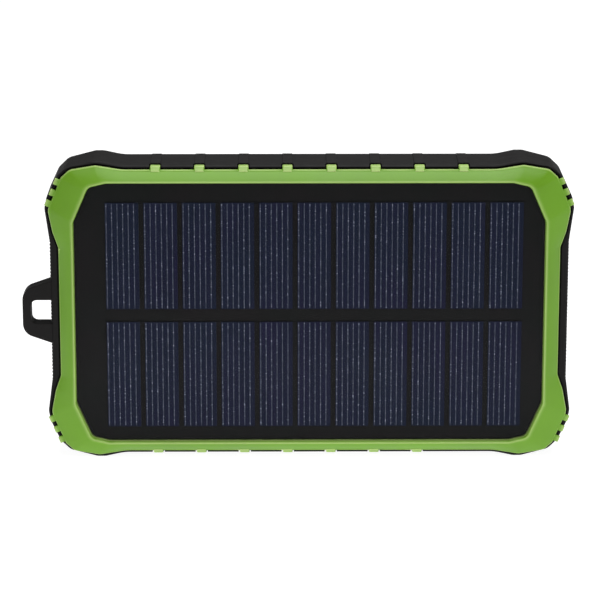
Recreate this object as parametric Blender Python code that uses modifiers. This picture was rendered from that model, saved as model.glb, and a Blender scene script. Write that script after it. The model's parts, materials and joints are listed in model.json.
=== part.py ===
"""A rugged solar phone charger, standing on a long edge with its solar panel facing -Y.

All sizes are in millimetres in the body's own frame: x to the right, y to the back, z up,
measured from the middle of the body. The empty "charger_origin" carries that frame, and puts
the middle of the object's footprint at the world origin.
"""
import math

import bmesh
import bpy
from mathutils import Vector

MM = 0.001
GAP = 0.3                      # clearance between pieces that touch on the real object
OVERCUT = 1.0                  # how far a cutter runs past the face that it opens

# ---------------------------------------------------------------- driving dimensions
BODY_X = 69.2                  # half width between the corner bumpers
BODY_Z = 39.7                  # half height between the corner bumpers
BUMPER_X = 70.4                # half width over the corner bumpers
BUMPER_Z = 40.8                # half height over the corner bumpers
BODY_Y = 10.0                  # half depth: crest of the bezel to the back face
LOOP_REACH = 7.5               # how far the lanyard loop stands out from the left side

RIM_Y = -6.3                   # front rim of the rear shell, where the bezel sits
WALL = 2.2                     # side wall of the rear shell
BACK_WALL = 1.8
REAR_ROUNDING = 1.4
RIM_ROUNDING = 1.0
CAVITY_Y = BODY_Y - BACK_WALL  # floor of the cavity

LEDGE_Y = -4.2                 # ledge in the shell that the gasket lies on
LEDGE_WIDTH = 1.2
LEDGE_DEPTH = 1.0

BEZEL_X = 66.7                 # half width of the bezel between the corners
BEZEL_Z = 38.7
WINDOW_X = 62.5                # half width of the panel window
WINDOW_Z = 35.5
WINDOW_RADIUS = 2.2
CREST_OFFSET = 0.95            # the bezel's crest runs this far outside the window edge
BEZEL_EDGE_Y = -7.0            # front of the bezel's outer edge
LIP_Y = -9.2                   # window edge of the bezel

TAB_PITCH = 11.65
TAB_COUNT = 8
TAB_WIDTH = 2.7
TAB_TOP_Z = 39.6
TAB_BACK_Y = -4.4
RIB_PROUD = 0.3

TOOTH_PITCH = 3.12
TOOTH_WIDTH = 1.75
TOOTH_PROUD = 1.3
TOOTH_ROOT = 1.2

PANEL_FRONT_Y = -9.2
FILM_THICKNESS = 0.2
CELL_THICKNESS = 0.2
CELL_COLUMNS = 11
CELL_ROWS = 2
CELL_PITCH = 10.19
CELL_WIDTH = 8.88
CELL_HEIGHT = 29.0
CELL_ROW_GAP = 3.6
GRID_X = 1.25                  # the cell grid sits a little right of the window's middle
GRID_Z = -0.65                 # and a little below it

LOOP_HALF_ROOT = 8.2           # half height of the loop where it meets the side
LOOP_HALF_TIP = 5.9
LOOP_THICKNESS = 5.0
LOOP_FRONT_Y = -5.9            # just behind the front rim of the shell
LOOP_HOLE_HALF = 3.5
LOOP_HOLE_REACH = 5.3
LOOP_TIP_RADIUS = 3.6
LOOP_HOLE_RADIUS = 1.6

# ---------------------------------------------------------------- port side
BAY_HALF = 19.3                # half length of the port bay
BAY_FRONT_Y = -3.4
BAY_BACK_Y = 5.0
BAY_FLOOR_X = 65.4
BAY_BLOCK_X = 63.6
BAY_BLOCK_HALF = 21.4
PORT_Y = 0.8                   # middle of every socket
RECESS_FLOOR_X = 67.6
COVER_TOP = 19.6
COVER_BOTTOM = -20.2
COVER_FRONT_Y = -4.9
COVER_BACK_Y = 6.5
COVER_THICKNESS = 1.3
ANCHOR_BOTTOM = 20.9
ANCHOR_TOP = 24.0
ANCHOR_HALF_WIDTH = 2.8
HINGE_X = 69.3                 # the cover bends at its outer surface, just above its top edge
HINGE_Z = 20.25
USB_A_WIDTH = 13.0
USB_A_HEIGHT = 5.6
USB_A_LENGTH = 14.0
MICRO_WIDTH = 7.5
MICRO_HEIGHT = 2.8
MICRO_LENGTH = 5.6
USB_A_Z = MICRO_WIDTH / 2 + (2 * BAY_HALF - 2 * USB_A_WIDTH - MICRO_WIDTH) / 4 + USB_A_WIDTH / 2

# ---------------------------------------------------------------- inside
PLATE_THICKNESS = 1.0
GASKET_WIDTH = 0.8
GASKET_THICKNESS = 0.5
PCB_FRONT_Y = 3.9
PCB_THICKNESS = 1.2
PCB_LEFT = 44.5
PCB_RIGHT = 63.3
PCB_TOP = 28.0
PCB_NOTCH_X = 58.8
PCB_ARM_LEFT = 29.5
PCB_ARM_TOP = -31.2
PCB_BOTTOM = -36.8
BATTERY_LEFT = -58.6
BATTERY_RIGHT = 43.0
BATTERY_BOTTOM = -29.8
BATTERY_TOP = 35.2
BATTERY_THICKNESS = 5.8
BATTERY_FRONT_Y = -4.9
FOAM_THICKNESS = 0.4
SCREW_X = 62.3
SCREW_Z = 31.5
SCREW_SHAFT_RADIUS = 1.2
SCREW_HEAD_RADIUS = 2.3
SCREW_HEAD_THICKNESS = 1.0
BOSS_RADIUS = 2.9
POST_RADIUS = 2.4
COUNTERBORE_Y = 8.6

# ---------------------------------------------------------------- controls on the lower side
BUTTON_X = 34.4
BUTTON_Y = 1.0
BUTTON_LENGTH = 6.6
BUTTON_WIDTH = 4.0
BUTTON_PROUD = 0.35
FLANGE_EXTRA = 0.6
FLANGE_THICKNESS = 0.7
SWITCH_Y = 1.9
PLUNGER_RADIUS = 1.0
LED_FIRST_X = 40.6
LED_PITCH = 2.2
LED_COUNT = 4
LED_HOLE_Y = 1.0
LIGHT_PIPE_RADIUS = 0.6

# ---------------------------------------------------------------- torch on the back
TORCH_X = 53.0
TORCH_Z = 16.0
LENS_RADIUS = 5.0
LENS_THICKNESS = 0.6
TORCH_HOLE_RADIUS = 4.5
TORCH_LEDGE_Y = 8.9
REFLECTOR_RADIUS = 4.2

# Corners of a quarter of each outline, from the +X side round to the +Z side: x, z, rounding
SHELL_QUARTER = (
    (BODY_X, 19.5, 10.0),
    (BUMPER_X, 28.0, 3.5),
    (BUMPER_X - 0.6, 30.9, 3.5),
    (BUMPER_X - 3.1, 36.3, 3.5),
    (BUMPER_X - 5.8, 38.9, 3.5),
    (57.3, BUMPER_Z, 3.5),
    (55.1, BUMPER_Z, 3.5),
    (50.0, BODY_Z, 15.0),
)
BEZEL_QUARTER = (
    (BEZEL_X, 17.6, 3.0),
    (BEZEL_X + 1.5, 21.9, 3.0),
    (BEZEL_X + 2.55, 27.4, 3.0),
    (BEZEL_X + 2.4, 28.6, 1.0),
    (BEZEL_X - 1.0, 36.6, 1.5),
    (BEZEL_X - 3.3, 38.7, 2.5),
    (56.6, BEZEL_Z + 1.15, 2.5),
    (49.5, BEZEL_Z, 15.0),
)
WINDOW_QUARTER = (
    (WINDOW_X, 25.0),
    (58.4, 34.4),
    (53.8, WINDOW_Z),
)
TOOTH_LINE = ((65.85, 36.25), (69.1, 28.55))   # the straight corner edge that the teeth stand on


# ---------------------------------------------------------------- outlines in the x-z plane
def mirror_quarter(quarter):
    """A whole closed outline, counter-clockwise, from the points of its +X +Z quarter."""
    right_to_top = list(quarter)
    top_to_left = [(-p[0],) + tuple(p[1:]) for p in reversed(quarter)]
    left_to_bottom = [(-p[0], -p[1]) + tuple(p[2:]) for p in quarter]
    bottom_to_right = [(p[0], -p[1]) + tuple(p[2:]) for p in reversed(quarter)]
    return right_to_top + top_to_left + left_to_bottom + bottom_to_right


def round_corners(corners, steps=2):
    """Replace each corner (x, z, radius) of a closed outline with an arc; radius 0 stays sharp."""
    points = []
    count = len(corners)
    for index, (x, z, radius) in enumerate(corners):
        corner = Vector((x, z))
        if radius == 0:
            points.append((x, z))
            continue
        before = Vector(corners[index - 1][:2])
        after = Vector(corners[(index + 1) % count][:2])
        to_before = (before - corner).normalized()
        to_after = (after - corner).normalized()
        half_angle = to_before.angle(to_after) / 2
        reach = radius / math.tan(half_angle)
        middle = corner + (to_before + to_after).normalized() * radius / math.sin(half_angle)
        start = corner + to_before * reach - middle
        end = corner + to_after * reach - middle
        for step in range(steps + 1):
            direction = start.slerp(end, step / steps)
            points.append(tuple(middle + direction.normalized() * radius))
    return points


def split_edges(outline, longest, keep_above):
    """Divide edges longer than `longest`, but leave the long straight sides whole."""
    points = []
    for index, point in enumerate(outline):
        start = Vector(point)
        end = Vector(outline[(index + 1) % len(outline)])
        length = (end - start).length
        parts = 1 if length > keep_above else max(1, math.ceil(length / longest))
        points += [tuple(start.lerp(end, part / parts)) for part in range(parts)]
    return points


def offset_outline(outline, distance):
    """Move each point of a closed counter-clockwise outline outwards along its normal."""
    moved = []
    count = len(outline)
    for index, point in enumerate(outline):
        here = Vector(point)
        before = (here - Vector(outline[index - 1])).normalized()
        after = (Vector(outline[(index + 1) % count]) - here).normalized()
        along = (before + after).normalized()
        normal = Vector((along.y, -along.x))
        stretch = 1 / max(0.5, along.dot(after))
        moved.append(tuple(here + normal * distance * stretch))
    return moved


def nearest_on_outline(point, outline):
    """The point of a closed outline that lies nearest to the given point."""
    here = Vector(point)
    best = None
    for index, corner in enumerate(outline):
        start = Vector(corner)
        edge = Vector(outline[(index + 1) % len(outline)]) - start
        share = min(1, max(0, (here - start).dot(edge) / edge.length_squared))
        candidate = start + edge * share
        if best is None or (candidate - here).length < (best - here).length:
            best = candidate
    return best


def capsule(length, width, steps=6):
    """A slot outline with round ends, centred on the origin and long along its first axis."""
    radius = width / 2
    straight = length / 2 - radius
    points = []
    for side in (1, -1):
        for step in range(steps + 1):
            angle = math.pi * (step / steps - 0.5) + (0 if side > 0 else math.pi)
            points.append((side * straight + radius * math.cos(angle), radius * math.sin(angle)))
    return points


SHELL_OUTLINE = round_corners(mirror_quarter(SHELL_QUARTER))
BEZEL_OUTLINE = split_edges(round_corners(mirror_quarter(BEZEL_QUARTER)), 2.0, 30.0)
WINDOW_CORE = offset_outline(mirror_quarter(WINDOW_QUARTER), -WINDOW_RADIUS)


def window_outline(distance=0.0):
    """The panel window with rounded corners, grown outwards by a distance."""
    points = []
    for station in BEZEL_OUTLINE:
        core = nearest_on_outline(station, WINDOW_CORE)
        direction = (Vector(station) - core).normalized()
        points.append(tuple(core + direction * (WINDOW_RADIUS + distance)))
    return points


# ---------------------------------------------------------------- scene set-up
for old in list(bpy.data.objects):
    bpy.data.objects.remove(old, do_unlink=True)

charger = bpy.data.collections.new("solar_phone_charger")
helpers = bpy.data.collections.new("cutters")
bpy.context.scene.collection.children.link(charger)
bpy.context.scene.collection.children.link(helpers)

charger_origin = bpy.data.objects.new("charger_origin", None)
charger_origin.location = ((BODY_X + LOOP_REACH - BUMPER_X) / 2 * MM, 0, BUMPER_Z * MM)
charger.objects.link(charger_origin)


def make_material(name, colour, roughness, metallic=0.0, transmission=0.0):
    material = bpy.data.materials.new(name)
    material.use_nodes = True
    shader = material.node_tree.nodes["Principled BSDF"]
    shader.inputs["Base Color"].default_value = (*colour, 1.0)
    shader.inputs["Roughness"].default_value = roughness
    shader.inputs["Metallic"].default_value = metallic
    shader.inputs["Transmission Weight"].default_value = transmission
    material.diffuse_color = (*colour, 1.0)
    return material


RUBBER = make_material("black_rubber", (0.016, 0.015, 0.016), 0.62)
GREEN = make_material("green_plastic", (0.16, 0.38, 0.04), 0.42)
BLACK_PLASTIC = make_material("black_plastic", (0.012, 0.012, 0.013), 0.5)
SEAL_RUBBER = make_material("seal_rubber", (0.05, 0.05, 0.05), 0.8)
CLEAR_FILM = make_material("clear_film", (0.8, 0.82, 0.85), 0.25, transmission=0.9)
BOARD_BLACK = make_material("solder_mask_black", (0.010, 0.011, 0.013), 0.45)
SILICON = make_material("solar_silicon", (0.015, 0.018, 0.035), 0.35)
POUCH_FOIL = make_material("pouch_foil", (0.55, 0.56, 0.58), 0.35, metallic=0.8)
FOAM = make_material("foam", (0.03, 0.03, 0.03), 0.9)
PCB_GREEN = make_material("pcb_green", (0.02, 0.14, 0.05), 0.4)
TINNED_STEEL = make_material("tinned_steel", (0.62, 0.62, 0.60), 0.28, metallic=1.0)
WHITE_PLASTIC = make_material("white_plastic", (0.75, 0.75, 0.72), 0.45)
LED_RESIN = make_material("led_resin", (0.75, 0.85, 0.95), 0.25)
CLEAR_PLASTIC = make_material("clear_plastic", (0.85, 0.88, 0.9), 0.12, transmission=0.9)
REFLECTOR_CHROME = make_material("reflector_chrome", (0.85, 0.85, 0.86), 0.08, metallic=1.0)
SCREW_STEEL = make_material("black_zinc_steel", (0.09, 0.09, 0.10), 0.32, metallic=1.0)
RED_WIRE = make_material("red_insulation", (0.50, 0.02, 0.02), 0.45)
BLACK_WIRE = make_material("black_insulation", (0.02, 0.02, 0.02), 0.45)


# ---------------------------------------------------------------- ways of making an object
def place(name, data, material, location=(0, 0, 0), parent=charger_origin):
    """Link an object at a place given in millimetres in its parent's frame."""
    obj = bpy.data.objects.new(name, data)
    obj.location = Vector(location) * MM
    obj.parent = parent
    if material is None:
        helpers.objects.link(obj)
        obj.hide_render = True
        obj.display_type = "WIRE"
    else:
        charger.objects.link(obj)
        data.materials.append(material)
    return obj


def mesh_from(name, bm, smooth_angle=None):
    bmesh.ops.recalc_face_normals(bm, faces=bm.faces)
    mesh = bpy.data.meshes.new(name)
    bm.to_mesh(mesh)
    bm.free()
    if smooth_angle is not None:
        mesh.shade_smooth()
        mesh.set_sharp_from_angle(angle=math.radians(smooth_angle))
    return mesh


def box(name, material, low, high, parent=charger_origin, bevel=0.0):
    """A block between two corners, with its origin in its middle."""
    low, high = Vector(low), Vector(high)
    bm = bmesh.new()
    bmesh.ops.create_cube(bm, size=1.0)
    bmesh.ops.scale(bm, vec=(high - low) * MM, verts=bm.verts)
    obj = place(name, mesh_from(name, bm), material, (low + high) / 2, parent)
    if bevel:
        edge = obj.modifiers.new("edges", "BEVEL")
        edge.width = bevel * MM
        edge.segments = 2
    return obj


def cylinder(name, material, radius, start, end, segments=20, parent=charger_origin):
    """A round bar between two points."""
    start, end = Vector(start), Vector(end)
    bm = bmesh.new()
    bmesh.ops.create_cone(bm, cap_ends=True, segments=segments, radius1=radius * MM,
                          radius2=radius * MM, depth=(end - start).length * MM)
    turn = Vector((0, 0, 1)).rotation_difference(end - start)
    bmesh.ops.rotate(bm, verts=bm.verts, cent=(0, 0, 0), matrix=turn.to_matrix())
    return place(name, mesh_from(name, bm, 40), material, (start + end) / 2, parent)


def loft(name, material, rings, location=(0, 0, 0), parent=charger_origin, closed=False):
    """Skin a row of rings of equal length; the ends are capped, or joined when closed."""
    bm = bmesh.new()
    loops = [[bm.verts.new(Vector(point) * MM) for point in ring] for ring in rings]
    pairs = list(zip(loops, loops[1:]))
    if closed:
        pairs.append((loops[-1], loops[0]))
    for first, second in pairs:
        for index in range(len(first)):
            after = (index + 1) % len(first)
            bm.faces.new((first[index], first[after], second[after], second[index]))
    if not closed:
        bm.faces.new(loops[0])
        bm.faces.new(loops[-1])
    return place(name, mesh_from(name, bm, 30), material, location, parent)


def plate(name, material, outlines, front, back, parent=charger_origin):
    """A flat plate in the x-z plane; outlines after the first one are holes in it."""
    curve = bpy.data.curves.new(name, "CURVE")
    curve.dimensions = "2D"
    curve.fill_mode = "BOTH"
    curve.extrude = (back - front) / 2 * MM
    for outline in outlines:
        spline = curve.splines.new("POLY")
        spline.points.add(len(outline) - 1)
        for point, (x, z) in zip(spline.points, outline):
            point.co = (x * MM, z * MM, 0, 1)
        spline.use_cyclic_u = True
    obj = place(name, curve, material, (0, (front + back) / 2, 0), parent)
    obj.rotation_euler = (math.radians(90), 0, 0)
    return obj


def solid_plate(name, material, outlines, front, back):
    """The same plate as a mesh, for a piece or a cutter that takes part in a Boolean."""
    curve_object = plate(name + "_curve", material or RUBBER, outlines, front, back)
    bpy.context.view_layer.update()
    graph = bpy.context.evaluated_depsgraph_get()
    mesh = bpy.data.meshes.new_from_object(curve_object.evaluated_get(graph))
    bm = bmesh.new()
    bm.from_mesh(mesh)
    bmesh.ops.remove_doubles(bm, verts=bm.verts, dist=0.00001)
    bm.to_mesh(mesh)
    bm.free()
    mesh.materials.clear()
    obj = place(name, mesh, material, (0, (front + back) / 2, 0))
    obj.rotation_euler = curve_object.rotation_euler
    bpy.data.objects.remove(curve_object, do_unlink=True)
    return obj


def wire(name, material, route, radius):
    """A lead along a smooth curve through the points of its route."""
    curve = bpy.data.curves.new(name, "CURVE")
    curve.dimensions = "3D"
    curve.bevel_depth = radius * MM
    curve.bevel_resolution = 2
    curve.use_fill_caps = True
    points = smooth_route(route)
    spline = curve.splines.new("POLY")
    spline.points.add(len(points) - 1)
    for point, place_on_route in zip(spline.points, points):
        point.co = (*(place_on_route * MM), 1)
    return place(name, curve, material)


def smooth_route(route, steps=4):
    """Points along a Catmull-Rom curve through the points of a route."""
    stops = [Vector(stop) for stop in route]
    stops = [2 * stops[0] - stops[1]] + stops + [2 * stops[-1] - stops[-2]]
    points = []
    for a, b, c, d in zip(stops, stops[1:], stops[2:], stops[3:]):
        for step in range(steps):
            t = step / steps
            points.append(0.5 * (2 * b + (c - a) * t + (2 * a - 5 * b + 4 * c - d) * t ** 2
                                 + (3 * b - a - 3 * c + d) * t ** 3))
    points.append(stops[-2])
    return points


def combine(target, tools, operation):
    """Cut or join with each tool in turn; a tool may be used on one target only."""
    for tool in tools:
        step = target.modifiers.new(tool.name, "BOOLEAN")
        step.operation = operation
        step.solver = "EXACT"
        step.object = tool


def at_depth(outline, y):
    return [(x, y, z) for x, z in outline]


def at_height(outline, z, centre=(0, 0)):
    return [(x + centre[0], y + centre[1], z) for x, y in outline]


# ---------------------------------------------------------------- rear shell
def tab_places(side):
    """Where the tabs and ribs stand; the controls take the last place on the lower side."""
    first = -TAB_PITCH * (TAB_COUNT - 1) / 2
    count = TAB_COUNT if side > 0 else TAB_COUNT - 1
    return [first + TAB_PITCH * index for index in range(count)]


def arc_profile(radius, steps, start_y, towards_back):
    """(y, inset) pairs that round an edge from a flat side over to a flat face."""
    pairs = []
    for step in range(steps + 1):
        angle = math.pi / 2 * step / steps
        depth = radius * math.sin(angle)
        inset = radius * (1 - math.cos(angle))
        pairs.append((start_y + depth if towards_back else start_y - depth, inset))
    return pairs


def make_rear_shell():
    inner = [(CAVITY_Y, WALL), (LEDGE_Y + 2 * LEDGE_DEPTH, WALL),
             (LEDGE_Y + LEDGE_DEPTH, WALL + LEDGE_WIDTH), (LEDGE_Y, WALL + LEDGE_WIDTH),
             (LEDGE_Y, WALL), (RIM_Y, WALL)]
    rim = reversed(arc_profile(RIM_ROUNDING, 2, RIM_Y + RIM_ROUNDING, False))
    back = arc_profile(REAR_ROUNDING, 3, BODY_Y - REAR_ROUNDING, True)
    profile = inner + list(rim) + back
    rings = [at_depth(offset_outline(SHELL_OUTLINE, -inset), y) for y, inset in profile]
    shell = loft("rear_shell", RUBBER, rings)
    combine(shell, shell_additions(), "UNION")
    combine(shell, shell_cutters(), "DIFFERENCE")
    return shell


def shell_additions():
    added = []
    for side in (1, -1):
        for index, x in enumerate(tab_places(side)):
            low = (x - TAB_WIDTH / 2, TAB_BACK_Y + GAP, side * (BODY_Z - WALL / 2))
            high = (x + TAB_WIDTH / 2, BODY_Y - REAR_ROUNDING, side * (BODY_Z + RIB_PROUD))
            name = f"rib_{'upper' if side > 0 else 'lower'}_{index + 1}"
            added.append(slanted_rib(name, low, high))
    added.append(loop_solid())
    added.append(box("port_bay_block", None, (BAY_BLOCK_X, LEDGE_Y, -BAY_BLOCK_HALF),
                     (BODY_X - WALL / 2, CAVITY_Y + BACK_WALL / 2, BAY_BLOCK_HALF)))
    for name, x, z in screw_places("boss"):
        added.append(cylinder(name, None, BOSS_RADIUS, (x, GAP, z),
                              (x, CAVITY_Y + BACK_WALL / 4, z)))
    return added


def slanted_rib(name, low, high):
    """A rib on a long side, with ends that slope down to the side's surface."""
    root_z, top_z = low[2], high[2]
    slope = RIB_PROUD * 2
    outline = [(low[1], root_z), (low[1], top_z), (high[1] - slope, top_z),
               (high[1] + slope, root_z)]
    rings = [[(x, y, z) for y, z in outline] for x in (low[0], high[0])]
    return loft(name, None, rings)


def loop_solid():
    """The lanyard loop, which stands straight out of the left side."""
    root = -(BODY_X - WALL / 2)
    tip = -(BODY_X + LOOP_REACH)
    side = -BODY_X
    corners = [(root, LOOP_HALF_ROOT, 0), (side, LOOP_HALF_ROOT, 0),
               (tip, LOOP_HALF_TIP, LOOP_TIP_RADIUS), (tip, -LOOP_HALF_TIP, LOOP_TIP_RADIUS),
               (side, -LOOP_HALF_ROOT, 0), (root, -LOOP_HALF_ROOT, 0)]
    return solid_plate("loop_outer", None, [round_corners(corners, 5)], LOOP_FRONT_Y,
                       LOOP_FRONT_Y + LOOP_THICKNESS)


def screw_places(prefix):
    places = []
    for index, (side_x, side_z) in enumerate(((-1, 1), (1, 1), (1, -1), (-1, -1))):
        places.append((f"{prefix}_{index + 1}", side_x * SCREW_X, side_z * SCREW_Z))
    return places


def shell_cutters():
    cutters = []
    for side in (1, -1):
        for index, x in enumerate(tab_places(side)):
            half = TAB_WIDTH / 2 + GAP
            name = f"tab_notch_{'upper' if side > 0 else 'lower'}_{index + 1}"
            z_edges = sorted((side * (BEZEL_Z - GAP), side * (BODY_Z + OVERCUT)))
            cutters.append(box(name, None, (x - half, RIM_Y - OVERCUT, z_edges[0]),
                               (x + half, TAB_BACK_Y + GAP, z_edges[1])))
    cutters.append(loop_hole())
    cutters.append(box("cover_recess", None,
                       (RECESS_FLOOR_X, COVER_FRONT_Y - GAP, COVER_BOTTOM - GAP),
                       (BUMPER_X + OVERCUT, COVER_BACK_Y + GAP, COVER_TOP + GAP)))
    anchor_half = ANCHOR_HALF_WIDTH + GAP
    cutters.append(box("anchor_seat", None,
                       (RECESS_FLOOR_X, PORT_Y - anchor_half, COVER_TOP - OVERCUT),
                       (BUMPER_X + OVERCUT, PORT_Y + anchor_half, ANCHOR_TOP + GAP)))
    cutters.append(box("port_bay", None, (BAY_FLOOR_X, BAY_FRONT_Y, -BAY_HALF),
                       (RECESS_FLOOR_X + OVERCUT, BAY_BACK_Y, BAY_HALF)))
    for name, z, width, height in port_list():
        half_width = width / 2 + GAP
        half_height = height / 2 + GAP
        cutters.append(box(name + "_window", None,
                           (BAY_BLOCK_X - OVERCUT, PORT_Y - half_height, z - half_width),
                           (BAY_FLOOR_X + OVERCUT, PORT_Y + half_height, z + half_width)))
    slot = capsule(BUTTON_LENGTH + 2 * GAP, BUTTON_WIDTH + 2 * GAP)
    slot_rings = [at_height(slot, z, (BUTTON_X, BUTTON_Y))
                  for z in (-BODY_Z - OVERCUT, -BODY_Z + WALL + OVERCUT)]
    cutters.append(loft("button_hole", None, slot_rings))
    for index, x in enumerate(led_places()):
        cutters.append(cylinder(f"led_hole_{index + 1}", None, LIGHT_PIPE_RADIUS + GAP,
                                (x, LED_HOLE_Y, -BODY_Z - OVERCUT),
                                (x, LED_HOLE_Y, -BODY_Z + WALL + OVERCUT), 12))
    for name, x, z in screw_places("counterbore"):
        cutters.append(cylinder(name, None, SCREW_HEAD_RADIUS + GAP, (x, COUNTERBORE_Y, z),
                                (x, BODY_Y + OVERCUT, z)))
    for name, x, z in screw_places("screw_hole"):
        cutters.append(cylinder(name, None, SCREW_SHAFT_RADIUS + GAP, (x, -OVERCUT, z),
                                (x, COUNTERBORE_Y + OVERCUT / 2, z), 16))
    cutters.append(cylinder("torch_hole", None, TORCH_HOLE_RADIUS,
                            (TORCH_X, CAVITY_Y - OVERCUT, TORCH_Z),
                            (TORCH_X, BODY_Y + OVERCUT, TORCH_Z), 32))
    cutters.append(cylinder("lens_seat", None, LENS_RADIUS + GAP,
                            (TORCH_X, TORCH_LEDGE_Y, TORCH_Z),
                            (TORCH_X, BODY_Y + OVERCUT, TORCH_Z), 32))
    return cutters


def loop_hole():
    side = -BODY_X
    far = -(BODY_X + LOOP_HOLE_REACH)
    corners = [(side, LOOP_HOLE_HALF, 0), (far, LOOP_HOLE_HALF, LOOP_HOLE_RADIUS),
               (far, -LOOP_HOLE_HALF, LOOP_HOLE_RADIUS), (side, -LOOP_HOLE_HALF, 0)]
    return solid_plate("loop_hole", None, [round_corners(corners, 4)], LOOP_FRONT_Y - OVERCUT,
                       LOOP_FRONT_Y + LOOP_THICKNESS + OVERCUT)


def port_list():
    return [("usb_a_upper", USB_A_Z, USB_A_WIDTH, USB_A_HEIGHT),
            ("micro_usb", 0.0, MICRO_WIDTH, MICRO_HEIGHT),
            ("usb_a_lower", -USB_A_Z, USB_A_WIDTH, USB_A_HEIGHT)]


def led_places():
    return [LED_FIRST_X + LED_PITCH * index for index in range(LED_COUNT)]


# ---------------------------------------------------------------- front bezel
def make_front_bezel():
    back_y = RIM_Y - GAP
    crest_y = -BODY_Y
    window = window_outline()
    inner_crest = window_outline(CREST_OFFSET * 0.75)
    crest = window_outline(CREST_OFFSET)
    outer_crest = window_outline(CREST_OFFSET * 1.4)
    shoulder = blend_outlines(outer_crest, BEZEL_OUTLINE, 0.55)
    rings = [at_depth(window, back_y), at_depth(window, LIP_Y),
             at_depth(inner_crest, crest_y + 0.12), at_depth(crest, crest_y),
             at_depth(outer_crest, crest_y + 0.15),
             at_depth(shoulder, crest_y + 1.25),
             at_depth(offset_outline(BEZEL_OUTLINE, -0.12), BEZEL_EDGE_Y - 0.25),
             at_depth(BEZEL_OUTLINE, BEZEL_EDGE_Y), at_depth(BEZEL_OUTLINE, back_y)]
    bezel = loft("front_bezel", GREEN, rings, closed=True)
    combine(bezel, bezel_tabs() + bezel_teeth(), "UNION")
    return bezel


def blend_outlines(first, second, share):
    return [tuple(Vector(a).lerp(Vector(b), share)) for a, b in zip(first, second)]


def bezel_tabs():
    """The tabs wrap over the shell's rim: an L in side view, drawn out along x."""
    tabs = []
    for side in (1, -1):
        outline = [(BEZEL_EDGE_Y - 0.9, BEZEL_Z - 0.9), (BEZEL_EDGE_Y, TAB_TOP_Z),
                   (TAB_BACK_Y - GAP, TAB_TOP_Z), (TAB_BACK_Y, TAB_TOP_Z - GAP),
                   (TAB_BACK_Y, BEZEL_Z), (RIM_Y - GAP, BEZEL_Z), (RIM_Y - GAP, BEZEL_Z - 0.9)]
        for index, x in enumerate(tab_places(side)):
            rings = [[(x + reach, y, side * z) for y, z in outline]
                     for reach in (-TAB_WIDTH / 2, TAB_WIDTH / 2)]
            name = f"tab_{'upper' if side > 0 else 'lower'}_{index + 1}"
            tabs.append(loft(name, None, rings))
    return tabs


def bezel_teeth():
    """Three teeth on each corner's straight edge, lying over the shell's front rim."""
    start, end = Vector(TOOTH_LINE[0]), Vector(TOOTH_LINE[1])
    along = (end - start).normalized()
    outward = Vector((-along.y, along.x))
    middle = (start + end) / 2
    teeth = []
    for corner, (side_x, side_z) in enumerate(((1, 1), (-1, 1), (-1, -1), (1, -1))):
        for index in (-1, 0, 1):
            centre = middle + along * TOOTH_PITCH * index
            outline = []
            for reach, shift in ((-TOOTH_ROOT, -1), (TOOTH_PROUD, -1), (TOOTH_PROUD, 1),
                                 (-TOOTH_ROOT, 1)):
                point = centre + outward * reach + along * shift * TOOTH_WIDTH / 2
                outline.append((side_x * point.x, side_z * point.y))
            rings = [at_depth(outline, y) for y in (BEZEL_EDGE_Y - 0.45, RIM_Y - GAP)]
            teeth.append(loft(f"tooth_{corner + 1}_{index + 2}", None, rings))
    return teeth


# ---------------------------------------------------------------- front frame and seal
def make_front_frame():
    outline = offset_outline(SHELL_OUTLINE, -(WALL + GAP))
    frame = solid_plate("front_frame", BLACK_PLASTIC, [outline], RIM_Y,
                        RIM_Y + PLATE_THICKNESS)
    posts = [cylinder(name, None, POST_RADIUS, (x, RIM_Y + PLATE_THICKNESS / 2, z), (x, 0, z))
             for name, x, z in screw_places("post")]
    pilots = [cylinder(name, None, SCREW_SHAFT_RADIUS + GAP, (x, RIM_Y + 1.4, z),
                       (x, OVERCUT, z), 16)
              for name, x, z in screw_places("pilot_hole")]
    combine(frame, posts, "UNION")
    combine(frame, pilots, "DIFFERENCE")
    return frame


def make_gasket():
    outer = offset_outline(SHELL_OUTLINE, -(WALL + GAP))
    inner = offset_outline(SHELL_OUTLINE, -(WALL + GAP + GASKET_WIDTH))
    back = LEDGE_Y - GAP
    front = back - GASKET_THICKNESS
    rings = [at_depth(outer, front), at_depth(outer, back), at_depth(inner, back),
             at_depth(inner, front)]
    return loft("seal_gasket", SEAL_RUBBER, rings, closed=True)


# ---------------------------------------------------------------- solar panel
def make_panel():
    outline = window_outline(-GAP)
    film_back = PANEL_FRONT_Y + FILM_THICKNESS
    cell_front = film_back + GAP
    board_front = cell_front + CELL_THICKNESS + GAP
    plate("panel_cover_film", CLEAR_FILM, [outline], PANEL_FRONT_Y, film_back)
    plate("solar_board", BOARD_BLACK, [outline], board_front, RIM_Y - GAP)
    for row in range(CELL_ROWS):
        z = GRID_Z + (CELL_HEIGHT + CELL_ROW_GAP) * (0.5 - row)
        for column in range(CELL_COLUMNS):
            x = GRID_X + CELL_PITCH * (column - (CELL_COLUMNS - 1) / 2)
            box(f"solar_cell_r{row + 1}_c{column + 1:02d}", SILICON,
                (x - CELL_WIDTH / 2, cell_front, z - CELL_HEIGHT / 2),
                (x + CELL_WIDTH / 2, cell_front + CELL_THICKNESS, z + CELL_HEIGHT / 2))


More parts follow.
